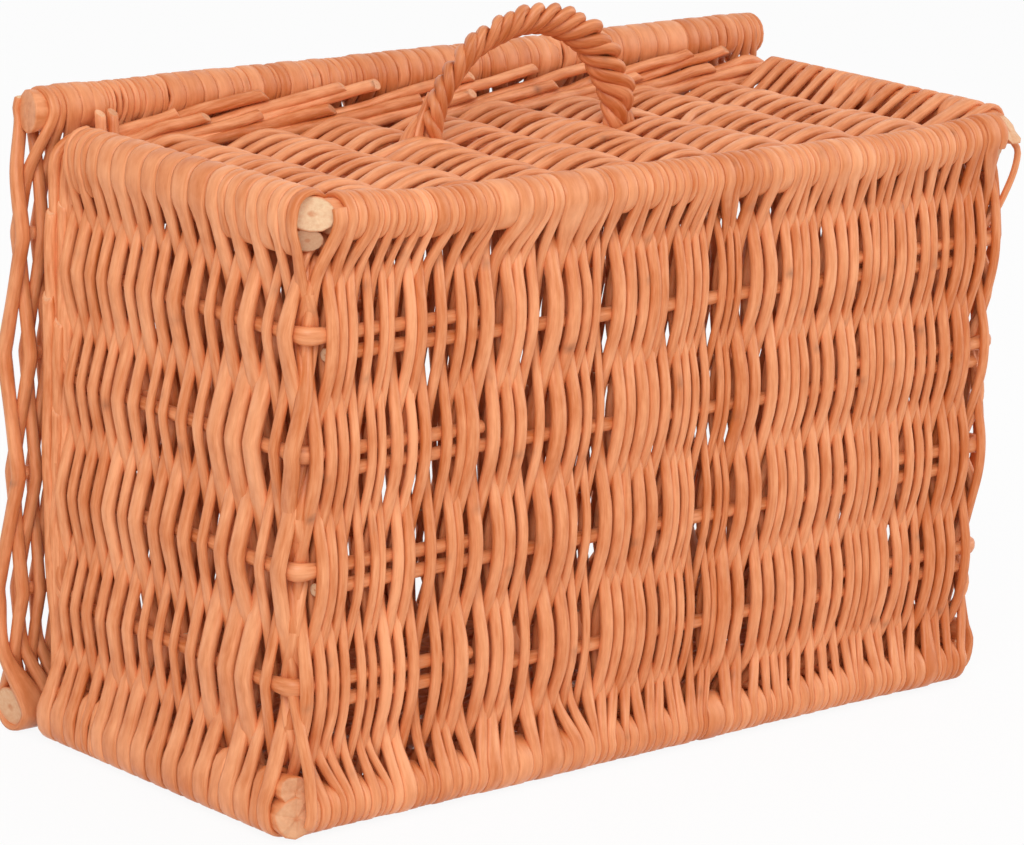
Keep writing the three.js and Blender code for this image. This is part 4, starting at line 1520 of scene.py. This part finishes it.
class HAMPER_OT_handle(bpy.types.Operator):
    """Plait the handle and tuck its tails into the wall"""

    bl_idname = "hamper.handle"
    bl_label = "Handle"

    def execute(self, context):
        sizes = settings().handle
        rng = np.random.default_rng(HANDLE_SEED)
        strand, reach = in_mm(sizes.strand_radius, sizes.plait_reach)
        depth, round_length = in_mm(sizes.plait_depth, sizes.plait_length)
        low, high, y = low_corner("handle"), high_corner("handle"), middle("handle")[1]
        outer = reach + strand
        halves = [(high[0] - low[0]) / 2 - outer - lean for lean in LEG_LEANS]
        foot = middle(HANDLE_STAKES[0])[2] - FOOT_SINK
        crown = high[2] + CROWN_RISE - outer
        turn = np.linspace(np.pi, 0, ARCH_POINTS)
        left = turn > np.pi / 2
        arch_x = CROWN_SHIFT + np.where(left, *halves) * np.cos(turn)
        rise = np.clip(np.sin(turn), 0, 1) ** np.where(left, *SHOULDERS)
        core = np.stack([arch_x, np.full(ARCH_POINTS, y), foot + (crown - foot) * rise], -1)
        travel = travelled(core)
        total = travel[-1]
        even = np.linspace(0, total, ARCH_POINTS)
        core = np.stack([np.interp(even, travel, core[:, k]) for k in range(3)], -1)
        along = unit(np.gradient(core, axis=0))
        sideways = np.array([0.0, 1.0, 0.0])
        radial = np.cross(along, sideways)
        radial *= np.sign(radial[ARCH_POINTS // 2, 2])
        tilt = math.radians(PLAIT_TILT)
        outward = radial * math.cos(tilt) - sideways * math.sin(tilt)
        facing = -radial * math.sin(tilt) - sideways * math.cos(tilt)
        bundle = Bundle("plaited_handle", ROD_SIDES, rng)
        gather = np.clip(np.minimum(even, total - even) / GATHER_RUN, GATHERED, 1)
        front = np.interp(even / total, PLAIT_FRONT_AT, PLAIT_FRONT)
        for k in range(STRANDS):
            drift = PLAIT_DRIFT * np.sin(even / PLAIT_DRIFT_RUN + k)
            phase = (even / round_length + k / STRANDS + drift) % 1
            outgoing = phase < front
            step = np.where(outgoing, phase / front, (1 - phase) / (1 - front))
            uneven = PLAIT_UNEVEN * np.sin(even / PLAIT_UNEVEN_RUN + PLAIT_UNEVEN_STEP * k)
            swing = reach * gather * (1 + uneven)
            wave = swing * ((1 + PLAIT_SEAM) * (0.5 - 0.5 * np.cos(np.pi * step)) - PLAIT_SEAM)
            weave = depth * np.sin(np.pi * step) * np.where(outgoing, 1, -1)
            line = core + outward * wave[:, None] + facing * weave[:, None]
            lumps = STRAND_LUMPS * np.sin(even / STRAND_LUMP_RUN + STRAND_LUMP_STEP * k)
            width, thick = (2 * strand * (1 + lumps) * share for share in STRAND_SHAPE)
            across = np.cross(unit(np.gradient(line, axis=0)), facing)
            bundle.add(Rod(line, across, width, thick, rng.normal(*HANDLE_TONE)))
        for side, half, spread_out in zip((-1, 1), halves, TAIL_SPREAD):
            leg = CROWN_SHIFT + side * half
            for root_out, root_up, end_out in TAILS:
                outs = (root_out, root_out + KNEE_OUT * (end_out - root_out), end_out)
                ups = (root_up, root_up * KNEE_UP, -TAIL_SINK)
                points = [
                    (leg + side * spread_out * out, y + forward, foot + up)
                    for out, forward, up in zip(outs, TAIL_FORWARD, ups)
                ]
                line = smooth_line(points, TAIL_STEP)
                girth = 2 * strand * np.linspace(*TAIL_TAPER, len(line)) ** TAIL_FULLNESS
                bundle.add(Rod(line, (1, 0, 0), girth * TAIL_WIDTH, girth, rng.normal(*HANDLE_TONE)))
        add_bundle(bundle, "basket", ["handle"], willow(*HANDLE_FINISH))
        return {"FINISHED"}


LOOP_SIDES = 10
LOOP_POINTS = 60
LOOP_TURNS = 1.12
LOOP_FULLNESS = 0.8
LOOP_LAP = 22
LOOP_START = -1.0
LOOP_DRIFT = 0.16
LOOP_TONES = 0.5


class HAMPER_OT_hinge_loops(bpy.types.Operator):
    """Wind the willow loops that hinge the lid"""

    bl_idname = "hamper.hinge_loops"
    bl_label = "Lid Loops"

    def execute(self, context):
        rng = np.random.default_rng(LOOP_SEED)
        turn = np.linspace(0, 2 * np.pi * LOOP_TURNS, LOOP_POINTS)
        for node in ("hinge_loop_left", "hinge_loop_right"):
            low, high, mid = low_corner(node), high_corner(node), middle(node)
            radius = (high[0] - low[0]) / 2
            tall, deep = (high[2] - low[2]) / 2 - radius, (high[1] - low[1]) / 2 - radius
            lap = np.clip(turn / (2 * np.pi) - 1, 0, 1) * LOOP_LAP
            x = mid[0] + lap + LOOP_START + turn * LOOP_DRIFT
            y = mid[1] + deep * rounded(np.cos(turn), LOOP_FULLNESS)
            z = mid[2] + tall * np.sin(turn)
            bundle = Bundle(f"willow_{node}", LOOP_SIDES, rng)
            line = np.stack([x, y, z], -1)
            bundle.add(Rod(line, (1, 0, 0), 2 * radius, 2 * radius, rng.normal(0, LOOP_TONES)))
            add_bundle(bundle, "basket", [node], willow(*LOOP_FINISH))
        return {"FINISHED"}


# The stage and the camera's clip in metres, the camera's place in millimetres and degrees

WHITE = (1, 1, 1, 1)
FLOOR_SIZE = 30
FLOOR_COLOUR = (0.86, 0.85, 0.84, 1)
FLOOR_ROUGHNESS = 0.9
FLOOR_GLOW = 0.92
KEY_LAMP = ("key_lamp", (-1.2, -1.15, 1.45), 1.2)
FILL_LAMP = ("fill_lamp", (1.5, -0.7, 0.8), 1.4)
LAMP_AIM = (0, 0, 0.13)
CAMERA_TURNS = (-43.1242, 13.8913, 3.1017)
CAMERA_TARGET = (4.5, 3.72, 140.77)
CAMERA_DISTANCE = 1987.316
CAMERA_SHIFT_RIGHT = -8.2529
CAMERA_SHIFT_UP = -13.8851
CAMERA_CLIP = (0.05, 100)
SENSOR_WIDTH = 36
FOCAL_PIXELS = 4530.503
PICTURE_WIDTH = 1024


def seen_directly(tree, *kinds):
    """A value that is 1 for rays of these kinds and 0 for others."""
    path = tree.nodes.new("ShaderNodeLightPath")
    value = path.outputs[kinds[0]]
    for kind in kinds[1:]:
        either = tree.nodes.new("ShaderNodeMath")
        either.operation = "MAXIMUM"
        tree.links.new(value, either.inputs[0])
        tree.links.new(path.outputs[kind], either.inputs[1])
        value = either.outputs["Value"]
    return value


def show_blend(tree, factor, first, second, output):
    """Shows a blend of two shaders."""
    blend = tree.nodes.new("ShaderNodeMixShader")
    for value, socket in zip((factor, first, second), blend.inputs):
        tree.links.new(value, socket)
    tree.links.new(blend.outputs["Shader"], tree.nodes[output].inputs["Surface"])


class HAMPER_OT_stage(bpy.types.Operator):
    """Set the floor, the lamps and the camera"""

    bl_idname = "hamper.stage"
    bl_label = "Stage"

    def execute(self, context):
        sizes = settings().stage
        context.scene.view_settings.view_transform = "Standard"
        self.floor(context)
        self.surround(context.scene, sizes.surround)
        self.lamp(context.scene, *KEY_LAMP, sizes.key_power)
        self.lamp(context.scene, *FILL_LAMP, sizes.fill_power)
        self.camera(context.scene)
        return {"FINISHED"}

    def floor(self, context):
        """A pale floor that looks almost white and still takes shadows."""
        bpy.ops.object.select_all(action="DESELECT")
        bpy.ops.mesh.primitive_plane_add(size=FLOOR_SIZE, location=(0, 0, 0))
        floor = context.object
        floor.name = "floor"
        paper = bpy.data.materials.new("Pale floor")
        paper.use_nodes = True
        tree = paper.node_tree
        shader = tree.nodes["Principled BSDF"]
        shader.inputs["Base Color"].default_value = FLOOR_COLOUR
        shader.inputs["Roughness"].default_value = FLOOR_ROUGHNESS
        share = tree.nodes.new("ShaderNodeMath")
        share.operation = "MULTIPLY"
        share.inputs[1].default_value = FLOOR_GLOW
        tree.links.new(seen_directly(tree, "Is Camera Ray", "Is Glossy Ray"), share.inputs[0])
        white = tree.nodes.new("ShaderNodeEmission")
        white.inputs["Color"].default_value = WHITE
        white.inputs["Strength"].default_value = 1
        glow = white.outputs["Emission"]
        show_blend(tree, share.outputs["Value"], shader.outputs["BSDF"], glow, "Material Output")
        floor.data.materials.append(paper)

    def surround(self, scene, strength):
        """Even light from all round, seen as white."""
        scene.world = bpy.data.worlds.new("Studio surround")
        scene.world.use_nodes = True
        tree = scene.world.node_tree
        lit = tree.nodes["Background"]
        lit.inputs["Color"].default_value = WHITE
        lit.inputs["Strength"].default_value = strength
        backdrop = tree.nodes.new("ShaderNodeBackground")
        backdrop.inputs["Color"].default_value = WHITE
        backdrop.inputs["Strength"].default_value = 1
        direct = seen_directly(tree, "Is Camera Ray", "Is Glossy Ray", "Is Transmission Ray")
        backgrounds = (lit.outputs["Background"], backdrop.outputs["Background"])
        show_blend(tree, direct, *backgrounds, "World Output")

    def lamp(self, scene, name, place, size, power):
        lamp = bpy.data.lights.new(name, "AREA")
        lamp.size = size
        lamp.energy = power
        obj = bpy.data.objects.new(name, lamp)
        aim = Vector(LAMP_AIM) - Vector(place)
        obj.matrix_world = Matrix.Translation(place) @ aim.to_track_quat("-Z", "Y").to_matrix().to_4x4()
        scene.collection.objects.link(obj)

    def camera(self, scene):
        azimuth, elevation, roll = (math.radians(degrees) for degrees in CAMERA_TURNS)
        back = Vector(
            (
                math.sin(azimuth) * math.cos(elevation),
                -math.cos(azimuth) * math.cos(elevation),
                math.sin(elevation),
            )
        )
        right = (-back).cross(Vector((0, 0, 1))).normalized()
        up = right.cross(-back)
        across = right * math.cos(roll) + up * math.sin(roll)
        above = up * math.cos(roll) - right * math.sin(roll)
        lens = bpy.data.cameras.new("camera")
        lens.sensor_fit = "HORIZONTAL"
        lens.sensor_width = SENSOR_WIDTH
        lens.lens = SENSOR_WIDTH * FOCAL_PIXELS / PICTURE_WIDTH
        lens.clip_start, lens.clip_end = CAMERA_CLIP
        obj = bpy.data.objects.new("camera", lens)
        place = Vector(CAMERA_TARGET) * MM + back * (CAMERA_DISTANCE * MM)
        place += across * (CAMERA_SHIFT_RIGHT * MM) + above * (CAMERA_SHIFT_UP * MM)
        turned = Matrix((across, above, back)).transposed().to_4x4()
        obj.matrix_world = Matrix.Translation(place) @ turned
        scene.collection.objects.link(obj)
        scene.camera = obj


class HAMPER_PT_panel(bpy.types.Panel):
    """Lists what can be made and set"""

    bl_idname = "HAMPER_PT_panel"
    bl_label = "Willow Hamper"
    bl_space_type = "VIEW_3D"
    bl_region_type = "UI"
    bl_category = "Hamper"

    def draw(self, context):
        for operator in OPERATORS:
            self.layout.operator(operator.bl_idname)
        hamper = context.scene.hamper
        for part in ("weavers", "sticks", "border", "handle", "colours", "stage"):
            box = self.layout.box()
            group = getattr(hamper, part)
            for label in group.__annotations__:
                box.prop(group, label)


GROUPS = (
    WeaverSizes,
    StickSizes,
    BorderSizes,
    HandleSizes,
    WillowColours,
    StageSettings,
    HamperSettings,
)
OPERATORS = (
    HAMPER_OT_sticks,
    HAMPER_OT_end_stakes,
    HAMPER_OT_base_weave,
    HAMPER_OT_lid_weave,
    HAMPER_OT_wall_weave,
    HAMPER_OT_rim_border,
    HAMPER_OT_handle,
    HAMPER_OT_hinge_loops,
    HAMPER_OT_stage,
)
CLASSES = (*GROUPS, *OPERATORS, HAMPER_PT_panel)


def register():
    for cls in CLASSES:
        bpy.utils.register_class(cls)
    bpy.types.Scene.hamper = PointerProperty(type=HamperSettings)


def unregister():
    del bpy.types.Scene.hamper
    for cls in reversed(CLASSES):
        bpy.utils.unregister_class(cls)


def main():
    register()
    bpy.ops.hamper.sticks()
    bpy.ops.hamper.end_stakes()
    bpy.ops.hamper.base_weave()
    bpy.ops.hamper.lid_weave()
    bpy.ops.hamper.wall_weave()
    bpy.ops.hamper.rim_border()
    bpy.ops.hamper.handle()
    bpy.ops.hamper.hinge_loops()
    bpy.ops.hamper.stage()


if __name__ == "__main__":
    main()
